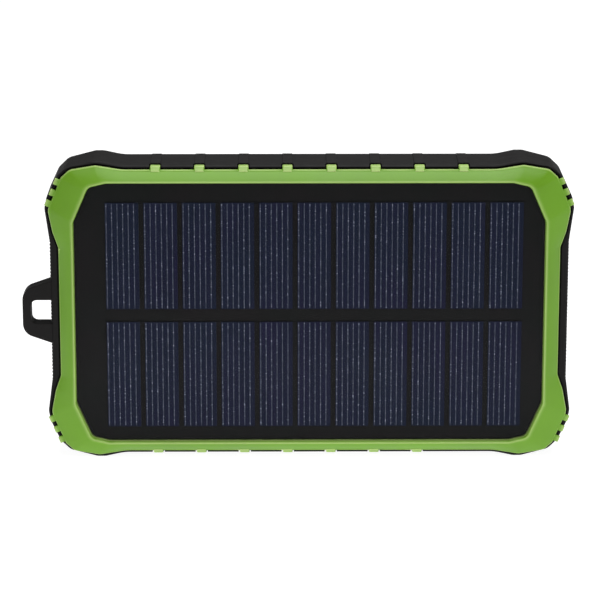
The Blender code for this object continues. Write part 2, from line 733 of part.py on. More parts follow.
# ---------------------------------------------------------------- batteries and board
def make_batteries():
    front = BATTERY_FRONT_Y
    foam = front + BATTERY_THICKNESS + GAP
    rear = foam + FOAM_THICKNESS + GAP
    for name, y in (("battery_cell_front", front), ("battery_cell_rear", rear)):
        box(name, POUCH_FOIL, (BATTERY_LEFT, y, BATTERY_BOTTOM),
            (BATTERY_RIGHT, y + BATTERY_THICKNESS, BATTERY_TOP), bevel=1.2)
    box("battery_foam_pad", FOAM, (BATTERY_LEFT + 6, foam, BATTERY_BOTTOM + 6),
        (BATTERY_RIGHT - 6, foam + FOAM_THICKNESS, BATTERY_TOP - 6))
    lead_y = PCB_FRONT_Y - GAP - 0.9
    for name, material, z, rise in (("battery_lead_red", RED_WIRE, 31.6, 0.0),
                                    ("battery_lead_black", BLACK_WIRE, 29.2, -2.6)):
        wire(name, material, ((BATTERY_RIGHT + GAP, front + 2.4, z),
                              (BATTERY_RIGHT + 2.6, front + 2.6, z),
                              (BATTERY_RIGHT + 4.6, front + 4.4, z - 3.0 + rise),
                              (BATTERY_RIGHT + 5.2, lead_y - 0.6, z - 6.6 + rise),
                              (BATTERY_RIGHT + 5.2, lead_y, z - 8.6 + rise)), 0.8)


def make_circuit_board():
    outline = [(PCB_RIGHT, -PCB_TOP), (PCB_RIGHT, PCB_TOP), (PCB_LEFT, PCB_TOP),
               (PCB_LEFT, PCB_ARM_TOP), (PCB_ARM_LEFT, PCB_ARM_TOP),
               (PCB_ARM_LEFT, PCB_BOTTOM), (PCB_NOTCH_X, PCB_BOTTOM), (PCB_NOTCH_X, -PCB_TOP)]
    plate("main_pcb", PCB_GREEN, [outline], PCB_FRONT_Y, PCB_FRONT_Y + PCB_THICKNESS)
    seat = PCB_FRONT_Y - GAP
    box("power_inductor", BLACK_PLASTIC, (46.2, seat - 3.0, -28.6), (53.2, seat, -21.6),
        bevel=0.6)
    box("controller_chip", BLACK_PLASTIC, (45.2, seat - 1.0, -2.5), (50.2, seat, 2.5),
        bevel=0.15)
    cylinder("filter_capacitor", TINNED_STEEL, 2.4, (56.2, seat, -24.6),
             (56.2, seat - 5.2, -24.6))


def make_sockets():
    mouth = BAY_FLOOR_X - 0.2
    for name, z, width, height in port_list():
        micro = name == "micro_usb"
        length = MICRO_LENGTH if micro else USB_A_LENGTH
        metal = 0.3 if micro else 0.4
        shell_name = "micro_usb_shell" if micro else name.replace("usb_a_", "usb_a_shell_")
        tongue_name = shell_name.replace("shell", "tongue")
        shell = box(shell_name, TINNED_STEEL,
                    (mouth - length, PORT_Y - height / 2, z - width / 2),
                    (mouth, PORT_Y + height / 2, z + width / 2))
        hollow = box(name + "_hollow", None,
                     (mouth - length + 1.0, PORT_Y - height / 2 + metal, z - width / 2 + metal),
                     (mouth + OVERCUT, PORT_Y + height / 2 - metal, z + width / 2 - metal))
        combine(shell, [hollow], "DIFFERENCE")
        tongue_half = 2.8 if micro else 5.4
        tongue_thick = 0.7 if micro else 1.8
        tongue_front = PORT_Y - tongue_thick / 2
        box(tongue_name, BLACK_PLASTIC if micro else WHITE_PLASTIC,
            (mouth - length + 1.0 + GAP, tongue_front, z - tongue_half),
            (mouth - 0.8, tongue_front + tongue_thick, z + tongue_half))


# ---------------------------------------------------------------- port cover
def make_port_cover():
    hinge = bpy.data.objects.new("port_cover_hinge", None)
    hinge.location = Vector((HINGE_X, 0, HINGE_Z)) * MM
    hinge.parent = charger_origin
    charger.objects.link(hinge)
    outer_x = RECESS_FLOOR_X + GAP + COVER_THICKNESS - HINGE_X
    inner_x = RECESS_FLOOR_X + GAP - HINGE_X
    plug_x = BAY_FLOOR_X + GAP - HINGE_X
    cover = box("port_cover", RUBBER, (inner_x, COVER_FRONT_Y, COVER_BOTTOM - HINGE_Z),
                (outer_x, COVER_BACK_Y, COVER_TOP - HINGE_Z), hinge)
    plug = box("cover_plug", None,
               (plug_x, BAY_FRONT_Y + GAP, -BAY_HALF + GAP - HINGE_Z),
               (inner_x + COVER_THICKNESS / 2, BAY_BACK_Y - GAP, BAY_HALF - GAP - 1.0 - HINGE_Z),
               hinge)
    combine(cover, [plug], "UNION")
    box("port_cover_anchor", RUBBER,
        (RECESS_FLOOR_X + GAP, PORT_Y - ANCHOR_HALF_WIDTH, ANCHOR_BOTTOM),
        (RECESS_FLOOR_X + GAP + COVER_THICKNESS, PORT_Y + ANCHOR_HALF_WIDTH, ANCHOR_TOP),
        bevel=0.2)


# ---------------------------------------------------------------- power button and lights
def make_controls():
    outer_z = -BODY_Z - BUTTON_PROUD
    flange_z = -BODY_Z + WALL + GAP
    cap = capsule(BUTTON_LENGTH, BUTTON_WIDTH)
    crown = capsule(BUTTON_LENGTH - 0.6, BUTTON_WIDTH - 0.6)
    flange = capsule(BUTTON_LENGTH + 2 * FLANGE_EXTRA, BUTTON_WIDTH + 2 * FLANGE_EXTRA)
    rings = [at_height(crown, 0), at_height(cap, 0.3), at_height(cap, flange_z - outer_z),
             at_height(flange, flange_z - outer_z),
             at_height(flange, flange_z - outer_z + FLANGE_THICKNESS)]
    loft("power_button", RUBBER, rings, (BUTTON_X, BUTTON_Y, outer_z))
    flange_top = flange_z + FLANGE_THICKNESS
    plunger_bottom = flange_top + GAP
    switch_bottom = flange_top + 1.2
    switch_top = switch_bottom + 3.0
    cylinder("switch_plunger", WHITE_PLASTIC, PLUNGER_RADIUS,
             (BUTTON_X, SWITCH_Y, plunger_bottom), (BUTTON_X, SWITCH_Y, switch_bottom + 1.0), 16)
    seat = PCB_FRONT_Y - GAP
    body = box("tact_switch_body", BLACK_PLASTIC,
               (BUTTON_X - 2.25, seat - 3.4, switch_bottom), (BUTTON_X + 2.25, seat, switch_top))
    bore = cylinder("plunger_bore", None, PLUNGER_RADIUS + GAP,
                    (BUTTON_X, SWITCH_Y, switch_bottom - OVERCUT),
                    (BUTTON_X, SWITCH_Y, switch_bottom + 2.2), 16)
    combine(body, [bore], "DIFFERENCE")

    guide_bottom = -BODY_Z + WALL + GAP
    guide = box("led_light_guide", CLEAR_PLASTIC,
                (LED_FIRST_X - 1.0, LED_HOLE_Y - 0.7, guide_bottom),
                (led_places()[-1] + 1.0, seat, guide_bottom + 0.8))
    pipes = [cylinder(f"light_pipe_{index + 1}", None, LIGHT_PIPE_RADIUS,
                      (x, LED_HOLE_Y, -BODY_Z + GAP), (x, LED_HOLE_Y, guide_bottom + 0.4), 12)
             for index, x in enumerate(led_places())]
    combine(guide, pipes, "UNION")
    led_bottom = guide_bottom + 0.8 + GAP
    for index, x in enumerate(led_places()):
        box(f"charge_led_{index + 1}", LED_RESIN, (x - 0.7, seat - 0.8, led_bottom),
            (x + 0.7, seat, led_bottom + 1.0))


# ---------------------------------------------------------------- torch and screws
def make_torch():
    back_of_board = PCB_FRONT_Y + PCB_THICKNESS
    box("torch_led", LED_RESIN, (TORCH_X - 0.9, back_of_board + GAP, TORCH_Z - 0.9),
        (TORCH_X + 0.9, back_of_board + GAP + 0.8, TORCH_Z + 0.9))
    lens = cylinder("torch_lens", CLEAR_PLASTIC, LENS_RADIUS,
                    (TORCH_X, TORCH_LEDGE_Y + GAP, TORCH_Z),
                    (TORCH_X, TORCH_LEDGE_Y + GAP + LENS_THICKNESS, TORCH_Z), 32)
    edge = lens.modifiers.new("edges", "BEVEL")
    edge.width = 0.15 * MM
    edge.limit_method = "ANGLE"
    make_reflector(back_of_board + GAP + 1.1)


def make_reflector(start_y):
    """A turned bowl: an outer wall, and a curved inside that opens towards the back."""
    end_y = TORCH_LEDGE_Y
    inner = []
    for step in range(7):
        share = step / 6
        inner.append((1.5 + (REFLECTOR_RADIUS - 1.9) * math.sqrt(share),
                      start_y + (end_y - start_y) * share))
    profile = [(REFLECTOR_RADIUS, end_y), (REFLECTOR_RADIUS, start_y)] + inner
    bm = bmesh.new()
    verts = [bm.verts.new((radius * MM, 0, (y - start_y) * MM)) for radius, y in profile]
    for first, second in zip(verts, verts[1:] + verts[:1]):
        bm.edges.new((first, second))
    mesh = bpy.data.meshes.new("torch_reflector")
    bm.to_mesh(mesh)
    bm.free()
    reflector = place("torch_reflector", mesh, REFLECTOR_CHROME, (TORCH_X, start_y, TORCH_Z))
    reflector.rotation_euler = (math.radians(-90), 0, 0)
    turn = reflector.modifiers.new("turn", "SCREW")
    turn.steps = 32
    turn.render_steps = 32
    turn.use_merge_vertices = True
    turn.merge_threshold = 0.00001


def make_screws():
    head_y = COUNTERBORE_Y + GAP
    for name, x, z in screw_places("case_screw"):
        profile = [(SCREW_HEAD_RADIUS - 0.3, head_y + SCREW_HEAD_THICKNESS),
                   (SCREW_HEAD_RADIUS, head_y + SCREW_HEAD_THICKNESS - 0.35),
                   (SCREW_HEAD_RADIUS, head_y),
                   (SCREW_SHAFT_RADIUS, head_y),
                   (SCREW_SHAFT_RADIUS, -3.8),
                   (SCREW_SHAFT_RADIUS - 0.4, -4.4)]
        rings = [[(radius * math.cos(turn), y, radius * math.sin(turn))
                  for turn in (2 * math.pi * step / 20 for step in range(20))]
                 for radius, y in profile]
        screw = loft(name, SCREW_STEEL, rings, (x, 0, z))
        drive = []
        for arm, (half_x, half_z) in enumerate(((1.3, 0.28), (0.28, 1.3))):
            drive.append(box(f"{name}_drive_{arm + 1}", None,
                             (x - half_x, head_y + 0.35, z - half_z),
                             (x + half_x, head_y + SCREW_HEAD_THICKNESS + OVERCUT, z + half_z)))
        combine(screw, drive, "DIFFERENCE")


make_rear_shell()
make_front_bezel()
make_front_frame()
make_gasket()
make_panel()
make_batteries()
make_circuit_board()
make_sockets()
make_port_cover()
make_controls()
make_torch()
make_screws()
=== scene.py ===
import json
import math

import bmesh
import bpy
from mathutils import Matrix, Vector


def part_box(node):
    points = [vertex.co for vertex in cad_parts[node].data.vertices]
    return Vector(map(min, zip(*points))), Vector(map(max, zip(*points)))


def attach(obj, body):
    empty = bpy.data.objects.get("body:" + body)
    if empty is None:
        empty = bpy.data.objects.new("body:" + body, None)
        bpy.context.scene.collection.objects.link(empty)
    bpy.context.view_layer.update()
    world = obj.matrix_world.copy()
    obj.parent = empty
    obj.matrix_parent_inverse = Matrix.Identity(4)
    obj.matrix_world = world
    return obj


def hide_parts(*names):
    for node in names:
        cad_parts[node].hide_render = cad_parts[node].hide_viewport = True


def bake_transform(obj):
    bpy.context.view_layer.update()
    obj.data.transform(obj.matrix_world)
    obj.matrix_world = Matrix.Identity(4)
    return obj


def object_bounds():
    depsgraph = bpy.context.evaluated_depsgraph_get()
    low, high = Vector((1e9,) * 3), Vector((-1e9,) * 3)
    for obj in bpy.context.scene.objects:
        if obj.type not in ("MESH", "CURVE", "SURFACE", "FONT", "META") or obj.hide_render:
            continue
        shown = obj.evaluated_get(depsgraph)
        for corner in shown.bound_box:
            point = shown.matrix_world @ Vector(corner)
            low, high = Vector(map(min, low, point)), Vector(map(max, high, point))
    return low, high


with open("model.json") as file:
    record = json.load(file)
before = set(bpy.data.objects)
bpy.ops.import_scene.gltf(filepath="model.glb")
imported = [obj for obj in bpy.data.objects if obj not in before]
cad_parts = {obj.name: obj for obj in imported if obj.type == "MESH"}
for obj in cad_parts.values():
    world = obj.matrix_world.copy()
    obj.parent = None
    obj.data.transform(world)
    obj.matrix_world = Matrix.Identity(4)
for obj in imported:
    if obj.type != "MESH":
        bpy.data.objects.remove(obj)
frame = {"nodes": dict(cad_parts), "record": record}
cad_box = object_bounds()

# Sizes are in millimetres in the body's own frame: x to the right, y to the back, z up, measured
# from the middle of the body. Meshes are written in world metres, so every piece sits at the origin.
MM = 0.001
board_low, board_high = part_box("solar_board")
shell_low, shell_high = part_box("rear_shell")
MIDDLE = Vector(((board_low.x + board_high.x) / 2, 0, (shell_low.z + shell_high.z) / 2))
TO_WORLD = Matrix.Translation(MIDDLE) @ Matrix.Diagonal((MM, MM, MM, 1.0))


def node_box(name):
    """The corners of a CAD node in millimetres in the body's frame."""
    low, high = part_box(name)
    return (low - MIDDLE) / MM, (high - MIDDLE) / MM


def node_middle(name):
    low, high = node_box(name)
    return (low + high) / 2


# ------------------------ places read from the frame
SHELL_LOW, SHELL_HIGH = node_box("rear_shell")
BEZEL_LOW = node_box("front_bezel")[0]
BOARD_HIGH = node_box("solar_board")[1]
COVER_LOW, COVER_HIGH = node_box("port_cover")
ANCHOR_LOW, ANCHOR_HIGH = node_box("port_cover_anchor")
BUTTON_LOW, BUTTON_HIGH = node_box("power_button")
LENS_LOW, LENS_HIGH = node_box("torch_lens")
SCREW_LOW, SCREW_HIGH = node_box("case_screw_2")
BUTTON_PLACE = node_middle("power_button").xy
LENS_PLACE = node_middle("torch_lens").xz
SCREW_PLACES = [node_middle(f"case_screw_{index}").xz for index in range(1, 5)]
LED_XS = [node_middle(f"charge_led_{index}").x for index in range(1, 5)]

# ------------------------ sizes
CLEARANCE = 0.3            # gap round what drops in or moves
OVERCUT = 1.0              # how far a cutting tool reaches past the surface
STATION = 1.2              # spacing of the points along the long lofts
SLIVER = 0.003             # edges shorter than this are collapsed after a Boolean
SMOOTH_ANGLE = 35          # edges that turn by more than this many degrees stay sharp

BODY_X = COVER_HIGH.x      # half width between the corner bumpers
BUMPER_X = SHELL_HIGH.x
BUMPER_Z = SHELL_HIGH.z
BODY_Z = BUMPER_Z - 1.1    # half height between the corner bumpers
BACK_Y = SHELL_HIGH.y
RIM_Y = -6.3               # front rim of the shell
CREST_Y = BEZEL_LOW.y
BEZEL_BACK_Y = RIM_Y - CLEARANCE
BEZEL_EDGE_Y = -7.0        # front of the bezel's outer edge
BEZEL_EDGE_ROUNDING = 0.35
BEZEL_EDGE_DEPTH = 0.55    # how far that rounding runs along y
BEZEL_ARCH = 0.35          # 0 is a flat slope from the crest to the edge
BEZEL_X = 66.7
BEZEL_Z = 38.7
LIP_Y = -9.2               # window edge of the bezel
WINDOW_X = BOARD_HIGH.x + 0.3
WINDOW_Z = BOARD_HIGH.z + 0.3
WINDOW_RADIUS = 2.2
CREST_OFFSET = 0.45        # from the window's edge to the crest
WALL = 2.2
CAVITY_Y = BACK_Y - 1.8
LEDGE_Y = -4.2             # the inner ledge that carries the front frame
LEDGE_WIDTH = 1.2
LEDGE_THICKNESS = 1.0
REAR_ROUNDING = 1.4
RIM_ROUNDING = 1.0
SEAM_WIDTH = 0.5           # shadow gap between the bezel and the shell's rim
SEAM_DEPTH = 0.9

TAB_PITCH = 11.65
TAB_COUNT = 8
TAB_WIDTH = 2.7
TAB_TOP_Z = 39.6
TAB_BACK_Y = -4.4
TAB_ROUNDING = 0.35
NOTCH_FLOOR_Z = BEZEL_Z - 0.55
RIB_PROUD = 0.3
RIB_SLOPE = 0.6
RIB_ROUNDING = 0.14
TOOTH_PITCH = 3.12
TOOTH_WIDTH = 1.75
TOOTH_PROUD = 1.3
TOOTH_ROOT = 1.2
TOOTH_FRONT_Y = BEZEL_EDGE_Y - 0.45
TOOTH_ROUNDING = 0.2

LOOP_TIP_X = SHELL_LOW.x
LOOP_TIP_RADIUS = 3.6
LOOP_HALF_ROOT = 8.55
LOOP_HALF_TIP = 5.9
LOOP_FRONT_Y = -5.9
LOOP_BACK_Y = -0.9
LOOP_HOLE_HALF = 3.25
LOOP_HOLE_X = -(BODY_X + 5.3)
LOOP_HOLE_RADIUS = 1.6
LOOP_DROP = 0.36           # the loop sits a little below the middle of the side
LOOP_ROUNDING = 0.45

KNURL_PITCH = 0.95
KNURL_DEPTH = 0.3
KNURL_HALF = 19.5          # half length of the knurled stretch of the short sides
KNURL_MARGIN = 0.3
KNURL_FADE = 0.5           # the knurl comes up over this distance from its ends

PORT_Y = 0.8
PORT_BLOCK_X = 63.6        # inner face of the block that the sockets' windows go through
PORT_BLOCK_HALF = 21.4
BAY_HALF = 19.3
BAY_FRONT_Y = -3.4
BAY_BACK_Y = 5.0
BAY_FLOOR_X = 65.4
RECESS_FLOOR_X = 67.6
COVER_INNER_X = RECESS_FLOOR_X + CLEARANCE
COVER_ROUNDING = 0.35

BOSS_RADIUS = 2.9
BOSS_FRONT_Y = 0.3
SCREW_HOLE_RADIUS = 2.6
SCREW_SEAT_Y = 8.6
SCREW_BORE_RADIUS = 1.5
SCREW_BORE_END_Y = -1.0
LENS_HOLE_RADIUS = 5.3
LENS_BORE_RADIUS = 4.5
BUTTON_LENGTH = 6.6
BUTTON_WIDTH = 4.0
BUTTON_ROUNDING = 0.3
FLANGE_PROUD = 0.6
LIGHT_HOLE_RADIUS = 0.9

RELIEF_PLACE = (-4.0, 0.0)  # middle of the back's grooves
RELIEF_DEPTH = 0.3
RELIEF_HALF_X = 44.0
RELIEF_HALF_Z = 28.0
RELIEF_RADIUS = 7.0
RELIEF_WIDTH = 1.2         # of the groove that frames the grip grooves
GRIP_COUNT = 17
GRIP_PITCH = 4.2
GRIP_LENGTH = 40.0
GRIP_WIDTH = 1.3

# Corners of a quarter of each outline, from the +X side round to the +Z side: x, z, rounding
SHELL_QUARTER = (
    (BODY_X, 19.5, 10.0),
    (BUMPER_X, 28.0, 3.5),
    (BUMPER_X - 0.6, 30.9, 3.5),
    (BUMPER_X - 3.1, 36.3, 3.5),
    (BUMPER_X - 5.8, 38.9, 3.5),
    (57.3, BUMPER_Z, 3.5),
    (55.1, BUMPER_Z, 3.5),
    (50.0, BODY_Z, 15.0),
)
BEZEL_QUARTER = (
    (BEZEL_X, 17.6, 3.0),
    (BEZEL_X + 1.5, 21.9, 3.0),
    (BEZEL_X + 2.55, 27.4, 3.0),
    (BEZEL_X + 2.4, 28.6, 1.0),
    (BEZEL_X - 1.0, 36.6, 1.5),
    (BEZEL_X - 3.3, 38.7, 2.5),
    (56.6, BEZEL_Z + 1.15, 2.5),
    (49.5, BEZEL_Z, 15.0),
)
WINDOW_QUARTER = ((WINDOW_X, 25.0), (58.4, 34.4), (53.8, WINDOW_Z))
TOOTH_LINE = ((65.85, 36.25), (69.1, 28.55))   # the straight corner edge that the teeth stand on


# ------------------------ outlines in the x-z plane
def mirror_quarter(quarter):
    """A whole closed outline, counter-clockwise, from the points of its +X +Z quarter."""
    points = []
    for corners, side_x, side_z in ((quarter, 1, 1), (quarter[::-1], -1, 1), (quarter, -1, -1),
                                    (quarter[::-1], 1, -1)):
        points += [(side_x * x, side_z * z, *radius) for x, z, *radius in corners]
    return points


def round_corners(corners, steps=7):
    """Replace each corner (x, z, radius) of a closed outline with an arc; radius 0 stays sharp."""
    points = []
    count = len(corners)
    for index, (x, z, radius) in enumerate(corners):
        corner = Vector((x, z))
        if radius == 0:
            points.append((x, z))
            continue
        to_before = (Vector(corners[index - 1][:2]) - corner).normalized()
        to_after = (Vector(corners[(index + 1) % count][:2]) - corner).normalized()
        half_angle = to_before.angle(to_after) / 2
        reach = radius / math.tan(half_angle)
        middle = corner + (to_before + to_after).normalized() * radius / math.sin(half_angle)
        start = corner + to_before * reach - middle
        end = corner + to_after * reach - middle
        for step in range(steps + 1):
            direction = start.slerp(end, step / steps)
            points.append(tuple(middle + direction.normalized() * radius))
    return points


def split_edges(outline, spacing_at):
    """Divide the edges so that none is longer than spacing_at(its middle) says."""
    points = []
    for index, point in enumerate(outline):
        start = Vector(point)
        end = Vector(outline[(index + 1) % len(outline)])
        parts = max(1, math.ceil((end - start).length / spacing_at((start + end) / 2)))
        points += [tuple(start.lerp(end, part / parts)) for part in range(parts)]
    return points


def offset_outline(outline, distance):
    """Move each point of a closed counter-clockwise outline outwards along its normal."""
    moved = []
    count = len(outline)
    for index, point in enumerate(outline):
        here = Vector(point)
        before = (here - Vector(outline[index - 1])).normalized()
        after = (Vector(outline[(index + 1) % count]) - here).normalized()
        along = (before + after).normalized()
        stretch = 1 / max(0.5, along.dot(after))
        moved.append(tuple(here + Vector((along.y, -along.x)) * distance * stretch))
    return moved


def nearest_on_outline(point, outline):
    """The point of a closed outline that lies nearest to the given point."""
    here = Vector(point)
    candidates = []
    for index, corner in enumerate(outline):
        start = Vector(corner)
        edge = Vector(outline[(index + 1) % len(outline)]) - start
        share = min(1, max(0, (here - start).dot(edge) / edge.length_squared))
        candidates.append(start + edge * share)
    return min(candidates, key=lambda candidate: (candidate - here).length)


def knurl_spacing(middle):
    """Points stand close together along the knurled short sides, and further apart elsewhere."""
    on_knurl = abs(middle.x) > BODY_X - KNURL_MARGIN and abs(middle.y) < KNURL_HALF + KNURL_MARGIN
    return KNURL_PITCH / 4 if on_knurl else STATION


SHELL_OUTLINE = split_edges(round_corners(mirror_quarter(SHELL_QUARTER)), knurl_spacing)
BEZEL_OUTLINE = split_edges(round_corners(mirror_quarter(BEZEL_QUARTER)), lambda _: STATION)
WINDOW_CORE = offset_outline(mirror_quarter(WINDOW_QUARTER), -WINDOW_RADIUS)
STATION_CORES = [nearest_on_outline(station, WINDOW_CORE) for station in BEZEL_OUTLINE]


def window_outline(distance=0.0):
    """The panel window with rounded corners, grown outwards by a distance."""
    points = []
    for station, core in zip(BEZEL_OUTLINE, STATION_CORES):
        direction = (Vector(station) - core).normalized()
        points.append(tuple(core + direction * (WINDOW_RADIUS + distance)))
    return points


def blend_outlines(first, second, share):
    return [tuple(Vector(a).lerp(Vector(b), share)) for a, b in zip(first, second)]


def capsule(length, width, steps=12):
    """A slot outline with round ends, centred on the origin and long along its first axis."""
    radius = width / 2
    straight = length / 2 - radius
    points = []
    for side in (1, -1):
        for step in range(steps + 1):
            angle = math.pi * (step / steps - 0.5) + (0 if side > 0 else math.pi)
            points.append((side * straight + radius * math.cos(angle), radius * math.sin(angle)))
    return points


def rounded_rectangle(half_a, half_b, radius, steps=5):
    return round_corners(mirror_quarter([(half_a, half_b, radius)]), steps)


def circle(radius, count):
    return [(radius * math.cos(2 * math.pi * step / count),
             radius * math.sin(2 * math.pi * step / count)) for step in range(count)]


def at_depth(outline, y, centre=(0, 0)):
    return [(x + centre[0], y, z + centre[1]) for x, z in outline]


def at_height(outline, z, centre=(0, 0)):
    return [(x + centre[0], y + centre[1], z) for x, y in outline]


def at_side(outline, x, centre=(0, 0)):
    return [(x, y + centre[0], z + centre[1]) for y, z in outline]


# ------------------------ ways of making a mesh
def loft_mesh(rings, closed=False):
    """A bmesh skinned over a row of rings of equal length; capped at the ends, or closed."""
    bm = bmesh.new()
    loops = [[bm.verts.new(point) for point in ring] for ring in rings]
    pairs = list(zip(loops, loops[1:]))
    if closed:
        pairs.append((loops[-1], loops[0]))
    for first, second in pairs:
        for index in range(len(first)):
            after = (index + 1) % len(first)
            bm.faces.new((first[index], first[after], second[after], second[index]))
    if not closed:
        bm.faces.new(loops[0])
        bm.faces.new(loops[-1])
    bmesh.ops.recalc_face_normals(bm, faces=bm.faces)
    return bm


def turned(profile, place, count=64):
    """A solid turned about a line along y: (radius, y) pairs from one end to the other."""
    return loft_mesh([at_depth(circle(radius, count), y, place) for radius, y in profile])


def box_mesh(low, high, bevel=0.0, segments=3):
    low, high = Vector(low), Vector(high)
    bm = bmesh.new()
    bmesh.ops.create_cube(bm, size=1.0)
    bmesh.ops.scale(bm, vec=high - low, verts=bm.verts)
    bmesh.ops.translate(bm, vec=(low + high) / 2, verts=bm.verts)
    return bevel_sharp(bm, bevel, segments=segments) if bevel else bm


def bevel_sharp(bm, width, angle=40, segments=3):
    """Round every edge that turns by more than an angle."""
    sharp = [edge for edge in bm.edges if edge.calc_face_angle(0) > math.radians(angle)]
    bmesh.ops.bevel(bm, geom=sharp, offset=width, segments=segments, profile=0.5, affect="EDGES",
                    clamp_overlap=True)
    return bm


def joined(parts):
    """One bmesh that holds several bmeshes side by side."""
    whole = bmesh.new()
    for part in parts:
        mesh = bpy.data.meshes.new("part")
        part.to_mesh(mesh)
        part.free()
        whole.from_mesh(mesh)
        bpy.data.meshes.remove(mesh)
    return whole


def temporary(bm):
    mesh = bpy.data.meshes.new("tool")
    bm.to_mesh(mesh)
    bm.free()
    obj = bpy.data.objects.new("tool", mesh)
    bpy.context.scene.collection.objects.link(obj)
    return obj


def combine(bm, steps):
    """Run Booleans on a bmesh: each step is an operation and a bmesh of separate tools.

    Slivers and pinholes that they leave are closed afterwards.
    """
    target = temporary(bm)
    tools = []
    for operation, tool in steps:
        tools.append(temporary(tool))
        step = target.modifiers.new(operation, "BOOLEAN")
        step.operation = operation
        step.solver = "EXACT"
        step.object = tools[-1]
    bpy.context.view_layer.update()
    graph = bpy.context.evaluated_depsgraph_get()
    result = bmesh.new()
    result.from_mesh(target.evaluated_get(graph).to_mesh())
    for used in [target] + tools:
        bpy.data.objects.remove(used, do_unlink=True)
    bmesh.ops.dissolve_degenerate(result, dist=SLIVER, edges=result.edges)
    bmesh.ops.holes_fill(result, edges=[edge for edge in result.edges if edge.is_boundary])
    return result


def piece(name, bm, slot, body="case", replaces=(), finish=None):
    """Turn a bmesh in millimetres into a piece with its slot's finish, riding on a body."""
    bmesh.ops.transform(bm, matrix=TO_WORLD, verts=bm.verts)
    mesh = bpy.data.meshes.new(name)
    bm.to_mesh(mesh)
    bm.free()
    mesh.materials.append(finish or FINISHES[slot])
    mesh.shade_smooth()
    mesh.set_sharp_from_angle(angle=math.radians(SMOOTH_ANGLE))
    obj = bpy.data.objects.new(name, mesh)
    bpy.context.scene.collection.objects.link(obj)
    weighted = obj.modifiers.new("even_shading", "WEIGHTED_NORMAL")
    weighted.keep_sharp = True
    if replaces:
        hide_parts(*replaces)
    if body:
        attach(obj, body)
    return obj


# ------------------------ materials
class Nodes:
    """A Principled material whose inputs are fed by procedural patterns in object space."""

    def __init__(self, name, colour, roughness, metallic=0.0, **shader):
        self.material = bpy.data.materials.new(name)
        self.material.use_nodes = True
        self.tree = self.material.node_tree
        self.shader = self.tree.nodes["Principled BSDF"]
        self.place = self.add("ShaderNodeTexCoord").outputs["Object"]
        self.shader.inputs["Base Color"].default_value = (*colour, 1.0)
        self.shader.inputs["Roughness"].default_value = roughness
        self.shader.inputs["Metallic"].default_value = metallic
        for socket, value in shader.items():
            self.shader.inputs[socket.replace("_", " ")].default_value = value
        self.material.diffuse_color = (*colour, 1.0)

    def add(self, kind, inputs=(), **settings):
        node = self.tree.nodes.new(kind)
        for key, value in settings.items():
            setattr(node, key, value)
        for key, value in dict(inputs).items():
            if isinstance(value, bpy.types.NodeSocket):
                self.tree.links.new(value, node.inputs[key])
            else:
                node.inputs[key].default_value = value
        return node

    def feed(self, socket, value):
        self.tree.links.new(value, self.shader.inputs[socket])

    def noise(self, size, detail=3.0, roughness=0.55, stretch=None):
        """Noise with features of about a size in millimetres; stretch squeezes each axis."""
        where = self.place
        if stretch:
            where = self.add("ShaderNodeMapping", {"Vector": where, "Scale": stretch}).outputs[0]
        node = self.add("ShaderNodeTexNoise", {
            "Vector": where, "Scale": 1 / (size * MM), "Detail": detail, "Roughness": roughness})
        return node.outputs["Fac"]

    def cells(self, size, feature="F1"):
        node = self.add("ShaderNodeTexVoronoi", {"Vector": self.place, "Scale": 1 / (size * MM)},
                        feature=feature)
        return node.outputs["Distance"]

    def ramp(self, value, low, high, from_value=0.0, to_value=1.0):
        """Spread a pattern: low maps to from_value and high to to_value."""
        node = self.add("ShaderNodeMapRange", {
            "Value": value, "From Min": low, "From Max": high,
            "To Min": from_value, "To Max": to_value})
        return node.outputs["Result"]

    def mix(self, factor, first, second):
        """Mix two colours, each a colour socket or three numbers."""
        first, second = (colour if isinstance(colour, bpy.types.NodeSocket) else (*colour, 1.0)
                         for colour in (first, second))
        inputs = {0: factor, 6: first, 7: second}       # the node's sockets for RGBA
        return self.add("ShaderNodeMix", inputs, data_type="RGBA").outputs[2]

    def times(self, value, factor):
        return self.add("ShaderNodeMath", {0: value, 1: factor}, operation="MULTIPLY").outputs[0]

    def vary_roughness(self, size, smoothest, roughest):
        """Smoother and rougher patches of about a size in millimetres."""
        self.feed("Roughness", self.ramp(self.noise(size), 0.3, 0.7, smoothest, roughest))

    def bump(self, height, depth, normal=None):
        """Bump from a 0..1 height pattern with a depth in millimetres."""
        inputs = {"Height": height, "Distance": depth * MM}
        if normal:
            inputs["Normal"] = normal
        return self.add("ShaderNodeBump", inputs).outputs["Normal"]

    def edge_wear_and_highlight(self, low, high):
        """1 on convex edges and 0 on flats; the limits say how sharp an edge has to be."""
        pointed = self.add("ShaderNodeNewGeometry").outputs["Pointiness"]
        return self.ramp(pointed, low, high)


def shifted(colour, factor):
    return tuple(min(1.0, channel * factor) for channel in colour)


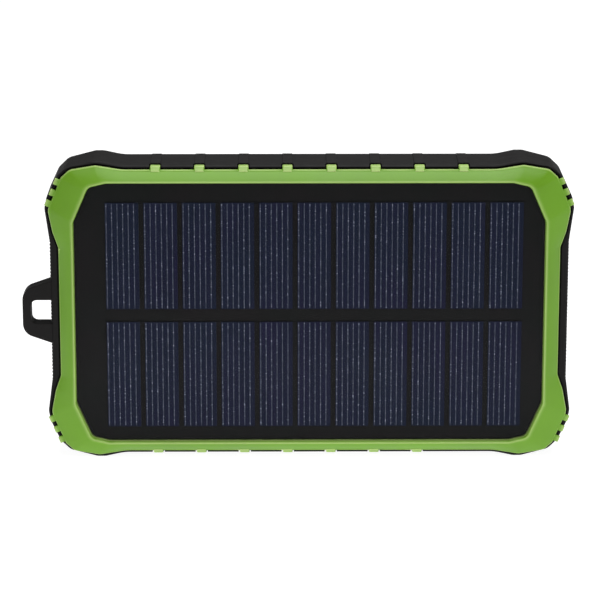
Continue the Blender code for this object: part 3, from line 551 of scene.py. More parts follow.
def moulded(name, colour, roughness, grain=0.25, grain_depth=0.02, blotch=9.0, edge_wear_and_highlight_colour=None,
            edge_wear_and_highlight_range=(0.52, 0.62), **shader):
    """Moulded plastic or rubber: fine spark-eroded grain, faint blotches and paler edges; the paler
    edges are wear, and on the green plastic also a painted highlight.
    """
    nodes = Nodes(name, colour, roughness, **shader)
    blotches = nodes.ramp(nodes.noise(blotch), 0.3, 0.7)
    colour_field = nodes.mix(blotches, shifted(colour, 0.92), shifted(colour, 1.08))
    dust = nodes.ramp(nodes.noise(0.35, detail=2.0), 0.66, 0.80)
    colour_field = nodes.mix(nodes.times(dust, 0.25), colour_field, shifted(colour, 1.6))
    edge_wear_and_highlight_colour = edge_wear_and_highlight_colour or shifted(colour, 1.35)
    # Convex edges take the edge colour: wear on most finishes, and a painted highlight on the green
    # plastic's crest and edges.
    colour_field = nodes.mix(nodes.edge_wear_and_highlight(*edge_wear_and_highlight_range), colour_field, edge_wear_and_highlight_colour)
    nodes.feed("Base Color", colour_field)
    nodes.vary_roughness(blotch / 2, roughness - 0.05, roughness + 0.06)
    fine = nodes.bump(nodes.noise(grain, detail=4.0), grain_depth)
    nodes.feed("Normal", nodes.bump(nodes.noise(grain * 16, detail=1.0), grain_depth * 1.5,
                                    normal=fine))
    return nodes.material


def metal(name, colour, roughness, brushed=(1, 1, 1), grain=0.4):
    """Plated or drawn metal: brushing or fine pitting, and tarnish in blotches."""
    nodes = Nodes(name, colour, roughness, metallic=1.0)
    tarnish = nodes.ramp(nodes.noise(3.0, detail=5.0), 0.35, 0.75)
    nodes.feed("Base Color", nodes.mix(tarnish, colour, shifted(colour, 0.72)))
    strokes = nodes.noise(grain, detail=3.0, stretch=brushed)
    nodes.feed("Roughness", nodes.ramp(strokes, 0.25, 0.75, roughness * 0.7, roughness * 1.4))
    nodes.feed("Normal", nodes.bump(strokes, 0.01))
    return nodes.material


def make_silicon():
    """Dark blue cell: soft bands of blue and violet, crystal mottling and fine sawing lines."""
    nodes = Nodes("solar_silicon_look", (0.0065, 0.0080, 0.022), 0.38, Specular_IOR_Level=0.05)
    bands = nodes.ramp(nodes.noise(2.6, detail=2.0, stretch=(1, 1, 0.10)), 0.35, 0.65)
    colour = nodes.mix(bands, (0.0040, 0.0072, 0.0215), (0.0070, 0.0070, 0.0280))
    broad = nodes.ramp(nodes.noise(26.0, detail=1.0), 0.35, 0.65)
    colour = nodes.mix(nodes.times(broad, 0.6), colour, (0.0042, 0.0115, 0.0235))
    crystals = nodes.ramp(nodes.cells(0.7), 0.1, 0.8, 0.0, 0.35)
    colour = nodes.mix(crystals, colour, (0.012, 0.014, 0.040))
    nodes.feed("Base Color", colour)
    nodes.vary_roughness(1.5, 0.32, 0.46)
    lines = nodes.noise(0.12, detail=2.0, stretch=(1, 1, 0.03))
    nodes.feed("Normal", nodes.bump(lines, 0.006))
    return nodes.material


def make_silver_paste():
    """Screen-printed silver: blue-grey with bright grains and thin spots."""
    nodes = Nodes("silver_paste_look", (0.055, 0.060, 0.088), 0.5, Specular_IOR_Level=0.2)
    thickness = nodes.ramp(nodes.noise(0.8, detail=2.0), 0.38, 0.62)
    colour = nodes.mix(thickness, (0.028, 0.036, 0.064), (0.068, 0.078, 0.120))
    grains = nodes.ramp(nodes.noise(0.36, detail=1.0), 0.62, 0.67)
    nodes.feed("Base Color", nodes.mix(grains, colour, (0.31, 0.34, 0.45)))
    nodes.feed("Roughness", nodes.ramp(thickness, 0.0, 1.0, 0.6, 0.4))
    nodes.feed("Normal", nodes.bump(nodes.noise(0.2), 0.02))
    return nodes.material


def make_solder_mask():
    """Matt black lacquer over the panel's board, with a faint fibre weave."""
    nodes = Nodes("solder_mask_look", (0.0055, 0.0060, 0.0062), 0.42, Specular_IOR_Level=0.06)
    blotches = nodes.ramp(nodes.noise(14.0), 0.3, 0.7)
    nodes.feed("Base Color", nodes.mix(blotches, (0.0050, 0.0062, 0.0058),
                                       (0.0072, 0.0062, 0.0068)))
    weave = nodes.add("ShaderNodeTexWave", {"Vector": nodes.place, "Scale": 320.0,
                                            "Distortion": 0.4}, bands_direction="DIAGONAL")
    nodes.vary_roughness(4.0, 0.36, 0.50)
    nodes.feed("Normal", nodes.bump(weave.outputs["Fac"], 0.004))
    return nodes.material


def make_film():
    """Clear laminate: almost nothing but a soft gloss and faint smears."""
    nodes = Nodes("clear_film_look", (0.02, 0.02, 0.022), 0.45, Alpha=0.035)
    nodes.feed("Roughness", nodes.ramp(nodes.noise(18.0, detail=4.0), 0.35, 0.7, 0.38, 0.55))
    nodes.feed("Normal", nodes.bump(nodes.noise(6.0, detail=1.0), 0.01))
    return nodes.material


def make_clear_plastic():
    """Polished clear plastic that is faintly uneven."""
    nodes = Nodes("clear_plastic_look", (0.88, 0.90, 0.92), 0.12, Alpha=0.22)
    nodes.vary_roughness(2.0, 0.06, 0.14)
    nodes.feed("Normal", nodes.bump(nodes.noise(3.0), 0.01))
    return nodes.material


def make_led_resin():
    """White package with a yellow phosphor blot in the middle."""
    nodes = Nodes("led_resin_look", (0.85, 0.80, 0.45), 0.3)
    phosphor = nodes.ramp(nodes.noise(0.8), 0.35, 0.65)
    nodes.feed("Base Color", nodes.mix(phosphor, (0.90, 0.88, 0.80), (0.86, 0.70, 0.22)))
    nodes.vary_roughness(0.4, 0.2, 0.4)
    return nodes.material


def make_pcb():
    """Green board: paler tracks under the lacquer."""
    nodes = Nodes("pcb_green_look", (0.02, 0.14, 0.05), 0.36)
    tracks = nodes.ramp(nodes.cells(2.2, feature="DISTANCE_TO_EDGE"), 0.05, 0.09, 1.0, 0.0)
    nodes.feed("Base Color", nodes.mix(tracks, (0.016, 0.115, 0.040), (0.035, 0.215, 0.070)))
    nodes.vary_roughness(1.0, 0.3, 0.45)
    nodes.feed("Normal", nodes.bump(tracks, 0.03))
    return nodes.material


def make_pouch_foil():
    """Laminated aluminium: soft creases over a satin surface, with painted shade darkening the
    creases' hollows.
    """
    nodes = Nodes("pouch_foil_look", (0.58, 0.59, 0.61), 0.34, metallic=0.85)
    creases = nodes.noise(7.0, detail=5.0, roughness=0.6)
    # Painted shade: the colour follows the crease height, so it is darker in the hollows and paler
    # on the raised parts.
    nodes.feed("Base Color", nodes.mix(nodes.ramp(creases, 0.3, 0.7), (0.50, 0.51, 0.53),
                                       (0.64, 0.65, 0.67)))
    nodes.vary_roughness(1.0, 0.28, 0.42)
    nodes.feed("Normal", nodes.bump(creases, 0.15))
    return nodes.material


GREEN = (0.140, 0.325, 0.012)
# Painted highlight: the pale colour given to the green bezel's crest, lip and other convex edges.
PAINTED_HIGHLIGHT_GREEN = (0.46, 0.62, 0.20)
BLACK = (0.0092, 0.0085, 0.0086)
FINISHES = {
    "case_rubber": moulded("case_rubber_look", BLACK, 0.58, grain=0.22, grain_depth=0.018,
                           Specular_IOR_Level=0.12),
    # The green plastic's pale edges are a painted highlight along the bezel's crest and edges.
    "green_plastic": moulded("green_plastic_look", GREEN, 0.40, grain=0.30, grain_depth=0.010,
                             blotch=24.0, edge_wear_and_highlight_colour=PAINTED_HIGHLIGHT_GREEN, edge_wear_and_highlight_range=(0.504, 0.56),
                             Specular_IOR_Level=0.38),
    "black_plastic": moulded("black_plastic_look", (0.011, 0.011, 0.012), 0.48, grain=0.3),
    "seal_rubber": moulded("seal_rubber_look", (0.045, 0.045, 0.046), 0.78, grain=0.15),
    "clear_film": make_film(),
    "solder_mask_black": make_solder_mask(),
    "solar_silicon": make_silicon(),
    "pouch_foil": make_pouch_foil(),
    "foam": moulded("foam_look", (0.028, 0.028, 0.03), 0.92, grain=0.6, grain_depth=0.2),
    "pcb_green": make_pcb(),
    "tinned_steel": metal("tinned_steel_look", (0.62, 0.61, 0.58), 0.26, brushed=(0.15, 1, 1)),
    "white_plastic": moulded("white_plastic_look", (0.74, 0.73, 0.70), 0.42, grain=0.3,
                             grain_depth=0.008, edge_wear_and_highlight_colour=(0.80, 0.79, 0.77)),
    "led_resin": make_led_resin(),
    "clear_plastic": make_clear_plastic(),
    "reflector_chrome": metal("reflector_chrome_look", (0.86, 0.86, 0.87), 0.09, grain=1.5),
    "black_zinc_steel": metal("black_zinc_look", (0.085, 0.085, 0.095), 0.34),
    "red_insulation": moulded("red_insulation_look", (0.48, 0.02, 0.02), 0.42, grain=0.5),
    "black_insulation": moulded("black_insulation_look", (0.018, 0.018, 0.018), 0.42, grain=0.5),
}
SILVER_PASTE = make_silver_paste()
GOLD = metal("gold_contact_look", (0.83, 0.62, 0.24), 0.22, brushed=(0.1, 1, 1))


def finish_cad_nodes():
    """Give every CAD node the finish of its slot in the record."""
    for row in frame["record"]["subparts"]:
        obj = frame["nodes"][row["node"]]
        if not obj.material_slots:
            obj.data.materials.append(None)
        for holder in obj.material_slots:
            holder.material = FINISHES[row["material_slot"]]


# ------------------------ rear shell
def tab_places(side):
    """Where the tabs and ribs stand; the controls take the last place on the lower side."""
    first = -TAB_PITCH * (TAB_COUNT - 1) / 2
    count = TAB_COUNT if side > 0 else TAB_COUNT - 1
    return [first + TAB_PITCH * index for index in range(count)]


def quarter_round(radius, steps=6):
    """(run, inset) pairs that round an edge over from a side to a face."""
    angles = [math.pi / 2 * step / steps for step in range(steps + 1)]
    return [(radius * math.sin(angle), radius * (1 - math.cos(angle))) for angle in angles]


def fade(value, low, high, width):
    """1 between low and high, falling to 0 over a width inside both ends."""
    return max(0.0, min(1.0, (value - low) / width, (high - value) / width))


def ridge(z):
    """Height of the knurl at z, from 0 in a groove to 1 on a ridge."""
    return 0.5 + 0.5 * math.cos(2 * math.pi * z / KNURL_PITCH)


def knurled(ring, y):
    """Sink the knurl's grooves into the short sides of one ring of the shell."""
    across = fade(y, RIM_Y, BACK_Y - REAR_ROUNDING - KNURL_MARGIN, KNURL_FADE)
    points = []
    for x, z in ring:
        along = fade(z, -KNURL_HALF, KNURL_HALF, KNURL_PITCH / 2)
        sunk = KNURL_DEPTH * across * along * (1 - ridge(z))
        points.append((x - math.copysign(sunk, x), z))
    return points


def shell_body():
    """The shell's wall: up its inside past the ledge, over the rim and back to the rear face."""
    shelf = WALL + LEDGE_WIDTH
    inner = [(CAVITY_Y, WALL), (LEDGE_Y + 2 * LEDGE_THICKNESS, WALL),
             (LEDGE_Y + LEDGE_THICKNESS, shelf), (LEDGE_Y, shelf), (LEDGE_Y, WALL), (RIM_Y, WALL)]
    rim = [(RIM_Y + RIM_ROUNDING - run, inset) for run, inset in quarter_round(RIM_ROUNDING)]
    back = [(BACK_Y - REAR_ROUNDING + run, inset) for run, inset in quarter_round(REAR_ROUNDING)]
    first_y, last_y = rim[0][0], back[0][0]
    parts = 14
    sides = [(first_y + (last_y - first_y) * part / parts, 0.0) for part in range(1, parts)]
    return loft_mesh([at_depth(knurled(offset_outline(SHELL_OUTLINE, -inset), y), y)
                      for y, inset in inner + rim[::-1] + sides + back])


def rounded_slice(outline, x, side, rounding, segments=3):
    """A block as wide as a tab from a (y, z) outline; side is 1 above and -1 below."""
    bm = loft_mesh([[(reach, y, side * z) for y, z in outline]
                    for reach in (x - TAB_WIDTH / 2, x + TAB_WIDTH / 2)])
    return bevel_sharp(bm, rounding, segments=segments)


def shell_rib(x, side):
    """A raised rib behind one tab; its back end slopes down."""
    root_z = BODY_Z - WALL / 2
    top_z = BODY_Z + RIB_PROUD
    low_y, high_y = TAB_BACK_Y + CLEARANCE, BACK_Y - REAR_ROUNDING
    outline = [(low_y, root_z), (low_y, top_z), (high_y - RIB_SLOPE, top_z),
               (high_y + RIB_SLOPE, root_z)]
    return rounded_slice(outline, x, side, RIB_ROUNDING)


def loop_solid():
    """The lanyard loop with its hole, rounded all over."""
    def whole(upper):
        return round_corners(upper + [(x, -z, radius) for x, z, radius in reversed(upper)])

    root = -(BODY_X - WALL * 0.7)
    outline = whole([(root, LOOP_HALF_ROOT, 0), (-BODY_X, LOOP_HALF_ROOT, 0),
                     (LOOP_TIP_X, LOOP_HALF_TIP, LOOP_TIP_RADIUS)])
    hole = whole([(root - 0.4, LOOP_HOLE_HALF, 0.2),
                  (LOOP_HOLE_X, LOOP_HOLE_HALF, LOOP_HOLE_RADIUS)])
    place = (0.0, -LOOP_DROP)
    solid = loft_mesh([at_depth(outline, y, place) for y in (LOOP_FRONT_Y, LOOP_BACK_Y)])
    cutter = loft_mesh([at_depth(hole, y, place)
                        for y in (LOOP_FRONT_Y - OVERCUT, LOOP_BACK_Y + OVERCUT)])
    return bevel_sharp(combine(solid, [("DIFFERENCE", cutter)]), LOOP_ROUNDING, segments=4)


def port_list():
    """Each socket's shell node with its middle z and its half sizes along z and y."""
    ports = []
    for name in ("usb_a_shell_upper", "micro_usb_shell", "usb_a_shell_lower"):
        low, high = node_box(name)
        ports.append((name, (low.z + high.z) / 2, (high.z - low.z) / 2, (high.y - low.y) / 2))
    return ports


def shell_additions():
    """The ribs, the loop, the block behind the port bay and the screw bosses."""
    ribs = [shell_rib(x, side) for side in (1, -1) for x in tab_places(side)]
    block = box_mesh((PORT_BLOCK_X, LEDGE_Y, -PORT_BLOCK_HALF),
                     (BODY_X - WALL / 2, CAVITY_Y + 0.9, PORT_BLOCK_HALF))
    boss = ((BOSS_RADIUS, BOSS_FRONT_Y), (BOSS_RADIUS, CAVITY_Y + 0.5))
    bosses = [turned(boss, place, 24) for place in SCREW_PLACES]
    return joined(ribs + [loop_solid(), block] + bosses)


def tab_notches():
    """Slots in the shell's rim for the bezel's tabs."""
    half = TAB_WIDTH / 2 + CLEARANCE
    notches = []
    for side in (1, -1):
        low_z, high_z = sorted((side * NOTCH_FLOOR_Z, side * (BODY_Z + OVERCUT)))
        notches += [box_mesh((x - half, RIM_Y - OVERCUT, low_z),
                             (x + half, TAB_BACK_Y + CLEARANCE, high_z))
                    for x in tab_places(side)]
    return joined(notches)


def rim_seam():
    """What leaves a dark gap round the bezel's outer edge."""
    outline = offset_outline(BEZEL_OUTLINE, SEAM_WIDTH)
    return loft_mesh([at_depth(outline, y) for y in (RIM_Y - OVERCUT, RIM_Y + SEAM_DEPTH)])


def cover_recess():
    gap = Vector((0, CLEARANCE, CLEARANCE))
    low, high = COVER_LOW - gap, COVER_HIGH + gap
    return box_mesh((RECESS_FLOOR_X, low.y, low.z), (BUMPER_X + OVERCUT, high.y, high.z))


def anchor_seat():
    gap = Vector((0, CLEARANCE, CLEARANCE))
    low, high = ANCHOR_LOW - gap, ANCHOR_HIGH + gap
    return box_mesh((RECESS_FLOOR_X, low.y, COVER_HIGH.z - OVERCUT),
                    (BUMPER_X + OVERCUT, high.y, high.z))


def port_bay():
    return box_mesh((BAY_FLOOR_X, BAY_FRONT_Y, -BAY_HALF),
                    (RECESS_FLOOR_X + OVERCUT, BAY_BACK_Y, BAY_HALF))


def port_windows():
    """A rounded opening round each socket, right through the block."""
    windows = []
    for _, z, half_z, half_y in port_list():
        outline = rounded_rectangle(half_y + CLEARANCE, half_z + CLEARANCE, 0.35)
        windows.append(loft_mesh([at_side(outline, x, (PORT_Y, z))
                                  for x in (PORT_BLOCK_X - OVERCUT, BAY_FLOOR_X + OVERCUT)]))
    return joined(windows)


def lower_side_holes():
    """The button's slot and four light holes in the lower side."""
    slot = capsule(BUTTON_LENGTH + 2 * CLEARANCE, BUTTON_WIDTH + 2 * CLEARANCE)
    light_hole = circle(LIGHT_HOLE_RADIUS, 24)
    shapes = [(slot, BUTTON_PLACE)] + [(light_hole, (x, BUTTON_PLACE.y)) for x in LED_XS]
    heights = (-BODY_Z - OVERCUT, -BODY_Z + WALL + OVERCUT)
    return joined([loft_mesh([at_height(outline, z, place) for z in heights])
                   for outline, place in shapes])


def stepped_hole(place, radius, chamfer, seat_y, bore_radius, end_y, count):
    """A round hole in the back with a chamfered mouth, and a narrower bore beyond its seat."""
    mouth_y = BACK_Y + 0.05
    return turned(((radius + chamfer, BACK_Y + OVERCUT), (radius + chamfer, mouth_y),
                   (radius, mouth_y - chamfer), (radius, seat_y), (bore_radius, seat_y),
                   (bore_radius, end_y)), place, count)


def back_holes():
    """Seats for the torch lens and the four screws."""
    holes = [stepped_hole(LENS_PLACE, LENS_HOLE_RADIUS, 0.4, LENS_LOW.y - CLEARANCE,
                          LENS_BORE_RADIUS, CAVITY_Y - OVERCUT, 64)]
    holes += [stepped_hole(place, SCREW_HOLE_RADIUS, 0.35, SCREW_SEAT_Y, SCREW_BORE_RADIUS,
                           SCREW_BORE_END_Y, 40) for place in SCREW_PLACES]
    return joined(holes)


def relief_frame():
    """A shallow groove that runs round the grip grooves."""
    half = RELIEF_WIDTH / 2
    above, floor = BACK_Y + 0.2, BACK_Y - RELIEF_DEPTH
    sections = ((half, above), (half, BACK_Y), (half / 2, floor), (-half / 2, floor),
                (-half, BACK_Y), (-half, above))
    rings = []
    for shift, y in sections:
        outline = rounded_rectangle(RELIEF_HALF_X + shift, RELIEF_HALF_Z + shift,
                                    RELIEF_RADIUS + shift, 10)
        rings.append(at_depth(outline, y, RELIEF_PLACE))
    return loft_mesh(rings, closed=True)


def back_relief():
    """Upright grip grooves in the back, inside a groove that frames them."""
    upright = [(b, a) for a, b in capsule(GRIP_LENGTH, GRIP_WIDTH)]
    grooves = [relief_frame()]
    for index in range(GRIP_COUNT):
        x = RELIEF_PLACE[0] + (index - (GRIP_COUNT - 1) / 2) * GRIP_PITCH
        grooves.append(loft_mesh([at_depth(upright, y, (x, RELIEF_PLACE[1]))
                                  for y in (BACK_Y - RELIEF_DEPTH, BACK_Y + 0.5)]))
    return joined(grooves)


def make_shell():
    cuts = (tab_notches, rim_seam, cover_recess, anchor_seat, port_bay, port_windows,
            lower_side_holes, back_holes, back_relief)
    steps = [("UNION", shell_additions())] + [("DIFFERENCE", cut()) for cut in cuts]
    piece("shell", combine(shell_body(), steps), "case_rubber", replaces=["rear_shell"])


# ------------------------ front bezel
def bezel_body():
    """The bezel's section: wall, lip, crest, a gently arched slope and a rounded outer edge."""
    crest = window_outline(CREST_OFFSET)
    edge = offset_outline(BEZEL_OUTLINE, -BEZEL_EDGE_ROUNDING)
    edge_y = BEZEL_EDGE_Y - BEZEL_EDGE_DEPTH
    rings = [at_depth(window_outline(), y) for y in (BEZEL_BACK_Y, LIP_Y)]
    lip_steps, slope_steps = 6, 12
    for step in range(1, lip_steps + 1):
        angle = math.pi / 2 * step / lip_steps
        ring = window_outline(CREST_OFFSET * (1 - math.cos(angle)))
        rings.append(at_depth(ring, LIP_Y + (CREST_Y - LIP_Y) * math.sin(angle)))
    for step in range(1, slope_steps + 1):
        share = step / slope_steps
        fall = BEZEL_ARCH * share ** 2 + (1 - BEZEL_ARCH) * share
        ring = blend_outlines(crest, edge, share)
        rings.append(at_depth(ring, CREST_Y + (edge_y - CREST_Y) * fall))
    for run, inset in quarter_round(BEZEL_EDGE_ROUNDING, 4)[::-1][1:]:
        rings.append(at_depth(offset_outline(BEZEL_OUTLINE, -inset),
                              BEZEL_EDGE_Y - BEZEL_EDGE_DEPTH * run / BEZEL_EDGE_ROUNDING))
    rings.append(at_depth(BEZEL_OUTLINE, BEZEL_BACK_Y))
    return loft_mesh(rings, closed=True)


def bezel_tab(x, side):
    """A tab that wraps over the shell's rim; its front slants into the bezel."""
    toe_y, shoulder_y = BEZEL_EDGE_Y - 0.9, BEZEL_EDGE_Y + 0.4
    outline = [(toe_y, BEZEL_Z - 0.5), (shoulder_y, TAB_TOP_Z), (TAB_BACK_Y, TAB_TOP_Z),
               (TAB_BACK_Y, BEZEL_Z - 0.3)]
    return rounded_slice(outline, x, side, TAB_ROUNDING, segments=4)


def bezel_teeth():
    """Three teeth on each corner's straight edge, lying over the shell's front rim."""
    start, end = Vector(TOOTH_LINE[0]), Vector(TOOTH_LINE[1])
    along = (end - start).normalized()
    outward = Vector((-along.y, along.x))
    middle = (start + end) / 2
    teeth = []
    for side_x, side_z in ((1, 1), (-1, 1), (-1, -1), (1, -1)):
        for index in (-1, 0, 1):
            centre = middle + along * TOOTH_PITCH * index
            outline = []
            for reach, shift in ((-TOOTH_ROOT, -1), (TOOTH_PROUD, -1), (TOOTH_PROUD, 1),
                                 (-TOOTH_ROOT, 1)):
                point = centre + outward * reach + along * shift * TOOTH_WIDTH / 2
                outline.append((side_x * point.x, side_z * point.y))
            bm = loft_mesh([at_depth(outline, y) for y in (TOOTH_FRONT_Y, BEZEL_BACK_Y - 0.02)])
            teeth.append(bevel_sharp(bm, TOOTH_ROUNDING))
    return teeth


def make_bezel():
    tabs = [bezel_tab(x, side) for side in (1, -1) for x in tab_places(side)]
    bm = combine(bezel_body(), [("UNION", joined(tabs + bezel_teeth()))])
    piece("bezel", bm, "green_plastic", replaces=["front_bezel"])


# ------------------------ solar panel
FINGER_COUNT = 6
FINGER_PITCH = 1.458
FINGER_WIDTH = 0.23
FINGER_LENGTH = 28.5
FINGER_SHIFT = -0.45       # the printed lines sit a little left of each cell's middle
FINGER_PROUD = 0.03
FINGER_SUNK = 0.02
FINGER_ROUNDING = 0.012


def make_fingers(cell):
    """The printed silver lines on one cell, a hair above its surface."""
    front_y = node_box(cell)[0].y
    middle = node_middle(cell)
    reach = Vector((FINGER_WIDTH / 2, 0, FINGER_LENGTH / 2))
    parts = []
    for index in range(FINGER_COUNT):
        x = middle.x + FINGER_SHIFT + FINGER_PITCH * (index - (FINGER_COUNT - 1) / 2)
        parts.append(box_mesh(Vector((x, front_y - FINGER_PROUD, middle.z)) - reach,
                              Vector((x, front_y + FINGER_SUNK, middle.z)) + reach,
                              FINGER_ROUNDING, 1))
    piece(cell.replace("solar_cell", "cell_fingers"), joined(parts), "tinned_steel",
          finish=SILVER_PASTE)


def make_panel_print():
    for row in (1, 2):
        for column in range(1, 12):
            make_fingers(f"solar_cell_r{row}_c{column:02d}")


# ------------------------ port cover
def flap():
    """The cover's flat flap: knurled outside, plain inside, with rounded edges."""
    low_y, high_y = COVER_LOW.y, COVER_HIGH.y
    low_z, high_z = COVER_LOW.z, COVER_HIGH.z
    flat_y = high_y - low_y - 2 * COVER_ROUNDING
    count = round((high_z - low_z) / (KNURL_PITCH / 4))
    edge = [(COVER_ROUNDING - run, inset) for run, inset in quarter_round(COVER_ROUNDING, 4)[::-1]]
    stations = [(low_y + run, inset) for run, inset in edge]
    stations += [(low_y + COVER_ROUNDING + flat_y * step / 10, 0.0) for step in range(1, 10)]
    stations += [(high_y - run, inset) for run, inset in edge[::-1]]
    rings = []
    for y, inset in stations:
        across = fade(y, low_y + KNURL_MARGIN, high_y - KNURL_MARGIN, KNURL_FADE)
        ring = [(COVER_INNER_X, y, high_z - inset), (COVER_INNER_X, y, low_z + inset)]
        for index in range(count + 1):
            z = low_z + inset + (high_z - low_z - 2 * inset) * index / count
            along = fade(z, max(low_z, -KNURL_HALF), KNURL_HALF, KNURL_PITCH / 2)
            past = COVER_ROUNDING - min(z - low_z, high_z - z)
            drop = 0.0
            if past > 0:
                drop = COVER_ROUNDING - math.sqrt(max(0.0, COVER_ROUNDING ** 2 - past ** 2))
            sunk = KNURL_DEPTH * across * along * (1 - ridge(z))
            ring.append((BODY_X - max(sunk, drop, inset), y, z))
        rings.append(ring)
    return loft_mesh(rings)


def sealing_rim():
    """A low wall inside the cover that fits the port bay."""
    place = ((BAY_FRONT_Y + BAY_BACK_Y) / 2, -0.5)
    half_y = (BAY_BACK_Y - BAY_FRONT_Y) / 2 - CLEARANCE
    half_z = BAY_HALF - 0.8
    root_x, tip_x = COVER_INNER_X + 0.6, 66.0
    radius, wall, chamfer = 1.6, 0.9, 0.3
    solid = loft_mesh([
        at_side(rounded_rectangle(half_y - cut, half_z - cut, radius - cut), x, place)
        for x, cut in ((root_x, 0), (tip_x + chamfer, 0), (tip_x, chamfer))])
    inner = rounded_rectangle(half_y - wall, half_z - wall, wall)
    hollow = loft_mesh([at_side(inner, x, place) for x in (COVER_INNER_X, tip_x - OVERCUT)])
    return combine(solid, [("DIFFERENCE", hollow)])


def cover_plugs():
    """One block behind each socket's mouth."""
    plugs = []
    for _, z, half_z, half_y in port_list():
        outline, tip = (rounded_rectangle(half_y - inset, half_z - inset, radius)
                        for inset, radius in ((CLEARANCE, 0.6), (2 * CLEARANCE, 0.4)))
        rings = ((outline, RECESS_FLOOR_X + 0.8), (outline, BAY_FLOOR_X + 0.7),
                 (tip, BAY_FLOOR_X + 0.35))
        plugs.append(loft_mesh([at_side(ring, x, (PORT_Y, z)) for ring, x in rings]))
    return joined(plugs)


def hinge_web():
    """The thin strip of rubber between the anchor and the cover, where the cover bends."""
    overlap, half_thickness, waist_depth, parts = 0.5, 0.35, 0.25, 16
    low_z, high_z = COVER_HIGH.z - overlap, ANCHOR_LOW.z + overlap
    half_width = ANCHOR_HIGH.y - PORT_Y - 0.35
    rings = []
    for part in range(parts + 1):
        z = low_z + (high_z - low_z) * part / parts
        waist = waist_depth * fade(z, low_z, high_z, 0.7)
        outline = rounded_rectangle(half_thickness, half_width - waist, 0.2)
        rings.append(at_height(outline, z, (BODY_X - 0.5, PORT_Y)))
    return loft_mesh(rings)


def make_cover():
    bm = combine(flap(), [("UNION", sealing_rim()), ("UNION", cover_plugs())])
    piece("cover", bm, "case_rubber", "port_cover", replaces=["port_cover"])
    web = piece("cover_hinge_web", hinge_web(), "case_rubber", None)
    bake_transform(web)


# ------------------------ button, lens, screws, contacts
def make_button():
    """The rubber key: a rounded cap with fine bars, on its flange."""
    outer_z = BUTTON_LOW.z
    cap_z = outer_z + BUTTON_ROUNDING + 0.12
    flange_z = -BODY_Z + WALL + CLEARANCE
    sections = [(-2 * inset, cap_z - run)
                for run, inset in quarter_round(BUTTON_ROUNDING, 5)[::-1]]
    sections += [(0, flange_z), (2 * FLANGE_PROUD, flange_z), (2 * FLANGE_PROUD, BUTTON_HIGH.z)]
    rings = [at_height(capsule(BUTTON_LENGTH + grown, BUTTON_WIDTH + grown), z, BUTTON_PLACE)
             for grown, z in sections]
    bar_pitch, bar_width, bar_length, bar_height = 0.75, 0.34, 2.9, 0.4
    bars = []
    for index in range(-3, 4):
        reach = Vector((bar_width / 2, bar_length / 2 - 0.09 * index * index))
        foot = BUTTON_PLACE + Vector((index * bar_pitch, 0))
        bars.append(box_mesh((*(foot - reach), outer_z), (*(foot + reach), outer_z + bar_height),
                             0.1))
    bm = combine(loft_mesh(rings), [("UNION", joined(bars))])
    piece("button", bm, "case_rubber", "power_button", replaces=["power_button"])


def make_lens():
    """The torch lens: flat behind, with concentric rings in front of a raised middle."""
    outer = (LENS_HIGH.x - LENS_LOW.x) / 2
    back_y, front_y = LENS_LOW.y, LENS_HIGH.y
    rings, ring_pitch, ring_depth = 6, 0.6, 0.16
    profile = [(outer - 0.15, back_y), (outer, back_y + 0.12), (outer, front_y - 0.12),
               (outer - 0.15, front_y)]
    for ring in range(rings):
        radius = outer - 0.8 - ring_pitch * ring
        profile += [(radius + 0.12, front_y), (radius, front_y - ring_depth)]
    profile += [(1.1, front_y - 0.02), (0.6, front_y)]
    piece("lens", turned(profile, LENS_PLACE), "clear_plastic", replaces=["torch_lens"])


def make_screw(index, place):
    """A cross-head screw with a domed head and a tapered recess."""
    end, seat, top = SCREW_LOW.y, SCREW_SEAT_Y, SCREW_HIGH.y
    radius, shank, point = (SCREW_HIGH.x - SCREW_LOW.x) / 2, 1.2, 0.8
    dome = ((0, 0.45), (0.08, 0.28), (0.3, 0.1), (0.7, 0.02), (1.1, 0))   # inset and drop
    profile = [(point, end), (shank, end + 0.6), (shank, seat), (radius, seat)]
    profile += [(radius - inset, top - drop) for inset, drop in dome]
    arm, half_width, recess = 1.35, 0.3, 0.65
    arms = []
    for half_x, half_z in ((arm, half_width), (half_width, arm)):
        rings = [at_depth(mirror_quarter([(half_x * share, half_z * share)]), y, place)
                 for y, share in ((top + 0.3, 1.1), (top - recess, 0.55))]
        arms.append(("DIFFERENCE", loft_mesh(rings)))
    piece(f"screw_{index}", combine(turned(profile, place, 40), arms), "black_zinc_steel",
          replaces=[f"case_screw_{index}"])


def make_contacts():
    """Gold strips on each socket's tongue."""
    for name, z, _, _ in port_list():
        tongue = name.replace("shell", "tongue")
        low, high = node_box(tongue)
        count = 5 if name.startswith("micro") else 4
        pitch = (high.z - low.z) / (count + 0.4)
        half = 0.22 * pitch
        strips = []
        for index in range(count):
            middle = z + pitch * (index - (count - 1) / 2)
            strips.append(box_mesh((low.x + 0.5, high.y - 0.02, middle - half),
                                   (high.x - 0.5, high.y + 0.06, middle + half), 0.03, 2))
        piece(tongue.replace("tongue", "contacts"), joined(strips), "tinned_steel", finish=GOLD)


# ------------------------ floor, lights and camera
FLOOR_SIZE = 4.0
FLOOR_GREY = 0.30
FLOOR_GLOW = 0.95          # keeps the floor white under the soft lights
AMBIENT = 0.16             # how much the white backdrop lights the object
CAMERA_AZIMUTH = -0.38
CAMERA_ELEVATION = 14.6
CAMERA_DISTANCE = 0.792
CAMERA_AIM = (-2.465, 0.0, 1.334)  # in the body's frame, in millimetres
VIEW_WIDTH = 0.161638      # width of the view at the aim point, in metres
SENSOR_WIDTH = 36.0


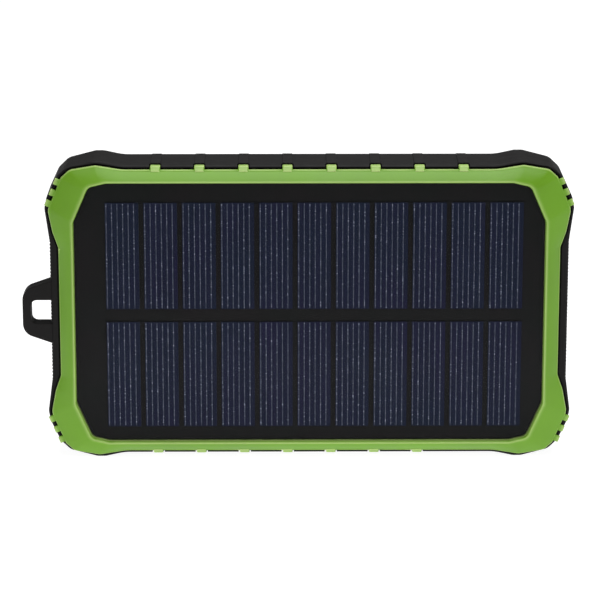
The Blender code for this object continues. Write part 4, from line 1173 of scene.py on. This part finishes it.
def make_floor():
    mesh = bpy.data.meshes.new("studio_floor")
    bm = bmesh.new()
    bmesh.ops.create_grid(bm, x_segments=1, y_segments=1, size=FLOOR_SIZE)
    bm.to_mesh(mesh)
    bm.free()
    floor = bpy.data.objects.new("studio_floor", mesh)
    floor.location.z = cad_box[0].z
    bpy.context.scene.collection.objects.link(floor)
    nodes = Nodes("studio_floor_look", (FLOOR_GREY,) * 3, 0.9, Specular_IOR_Level=0.0,
                  Emission_Color=(1, 1, 1, 1), Emission_Strength=FLOOR_GLOW)
    mesh.materials.append(nodes.material)


def make_world():
    """A white backdrop that lights the object more dimly than it shows."""
    world = bpy.data.worlds.new("studio")
    bpy.context.scene.world = world
    world.use_nodes = True
    tree = world.node_tree
    tree.nodes.clear()
    path = tree.nodes.new("ShaderNodeLightPath")
    mix = tree.nodes.new("ShaderNodeMixShader")
    output = tree.nodes.new("ShaderNodeOutputWorld")
    tree.links.new(path.outputs["Is Camera Ray"], mix.inputs[0])
    for socket, strength in ((1, AMBIENT), (2, 1.0)):
        background = tree.nodes.new("ShaderNodeBackground")
        background.inputs["Color"].default_value = (1, 1, 1, 1)
        background.inputs["Strength"].default_value = strength
        tree.links.new(background.outputs[0], mix.inputs[socket])
    tree.links.new(mix.outputs[0], output.inputs["Surface"])


def softbox(name, place, aim, size, watts):
    """A rectangular light; its place, aim and size are in metres."""
    light = bpy.data.lights.new(name, "AREA")
    light.shape = "RECTANGLE"
    light.size, light.size_y = size
    light.energy = watts
    obj = bpy.data.objects.new(name, light)
    obj.location = place
    direction = Vector(aim) - Vector(place)
    obj.rotation_euler = direction.to_track_quat("-Z", "Y").to_euler()
    bpy.context.scene.collection.objects.link(obj)


def make_lights():
    middle = (0, 0, MIDDLE.z)
    softbox("top_softbox", (0.05, 0.0, 0.60), middle, size=(0.9, 0.5), watts=4.7)
    softbox("front_fill", (-0.5, -0.9, 0.35), middle, size=(0.6, 0.5), watts=0.3)
    softbox("right_fill", (0.8, -0.3, 0.25), middle, size=(0.3, 0.5), watts=0.5)
    softbox("floor_glow", (0.0, -0.075, 0.004), (0.0, -0.01, 0.012), size=(0.20, 0.006),
            watts=0.016)


def make_camera():
    data = bpy.data.cameras.new("camera")
    data.sensor_width = SENSOR_WIDTH
    data.lens = SENSOR_WIDTH * CAMERA_DISTANCE / VIEW_WIDTH
    data.clip_start = 0.01
    data.clip_end = 50.0
    camera = bpy.data.objects.new("camera", data)
    azimuth, elevation = math.radians(CAMERA_AZIMUTH), math.radians(CAMERA_ELEVATION)
    back = Vector((math.sin(azimuth) * math.cos(elevation),
                   -math.cos(azimuth) * math.cos(elevation), math.sin(elevation)))
    camera.location = TO_WORLD @ Vector(CAMERA_AIM) + back * CAMERA_DISTANCE
    camera.rotation_euler = (-back).to_track_quat("-Z", "Y").to_euler()
    bpy.context.scene.collection.objects.link(camera)
    bpy.context.scene.camera = camera
    bpy.context.scene.view_settings.view_transform = "Standard"


finish_cad_nodes()
make_shell()
make_bezel()
make_panel_print()
make_cover()
make_button()
make_lens()
for number, spot in enumerate(SCREW_PLACES, 1):
    make_screw(number, spot)
make_contacts()
make_floor()
make_world()
make_lights()
make_camera()
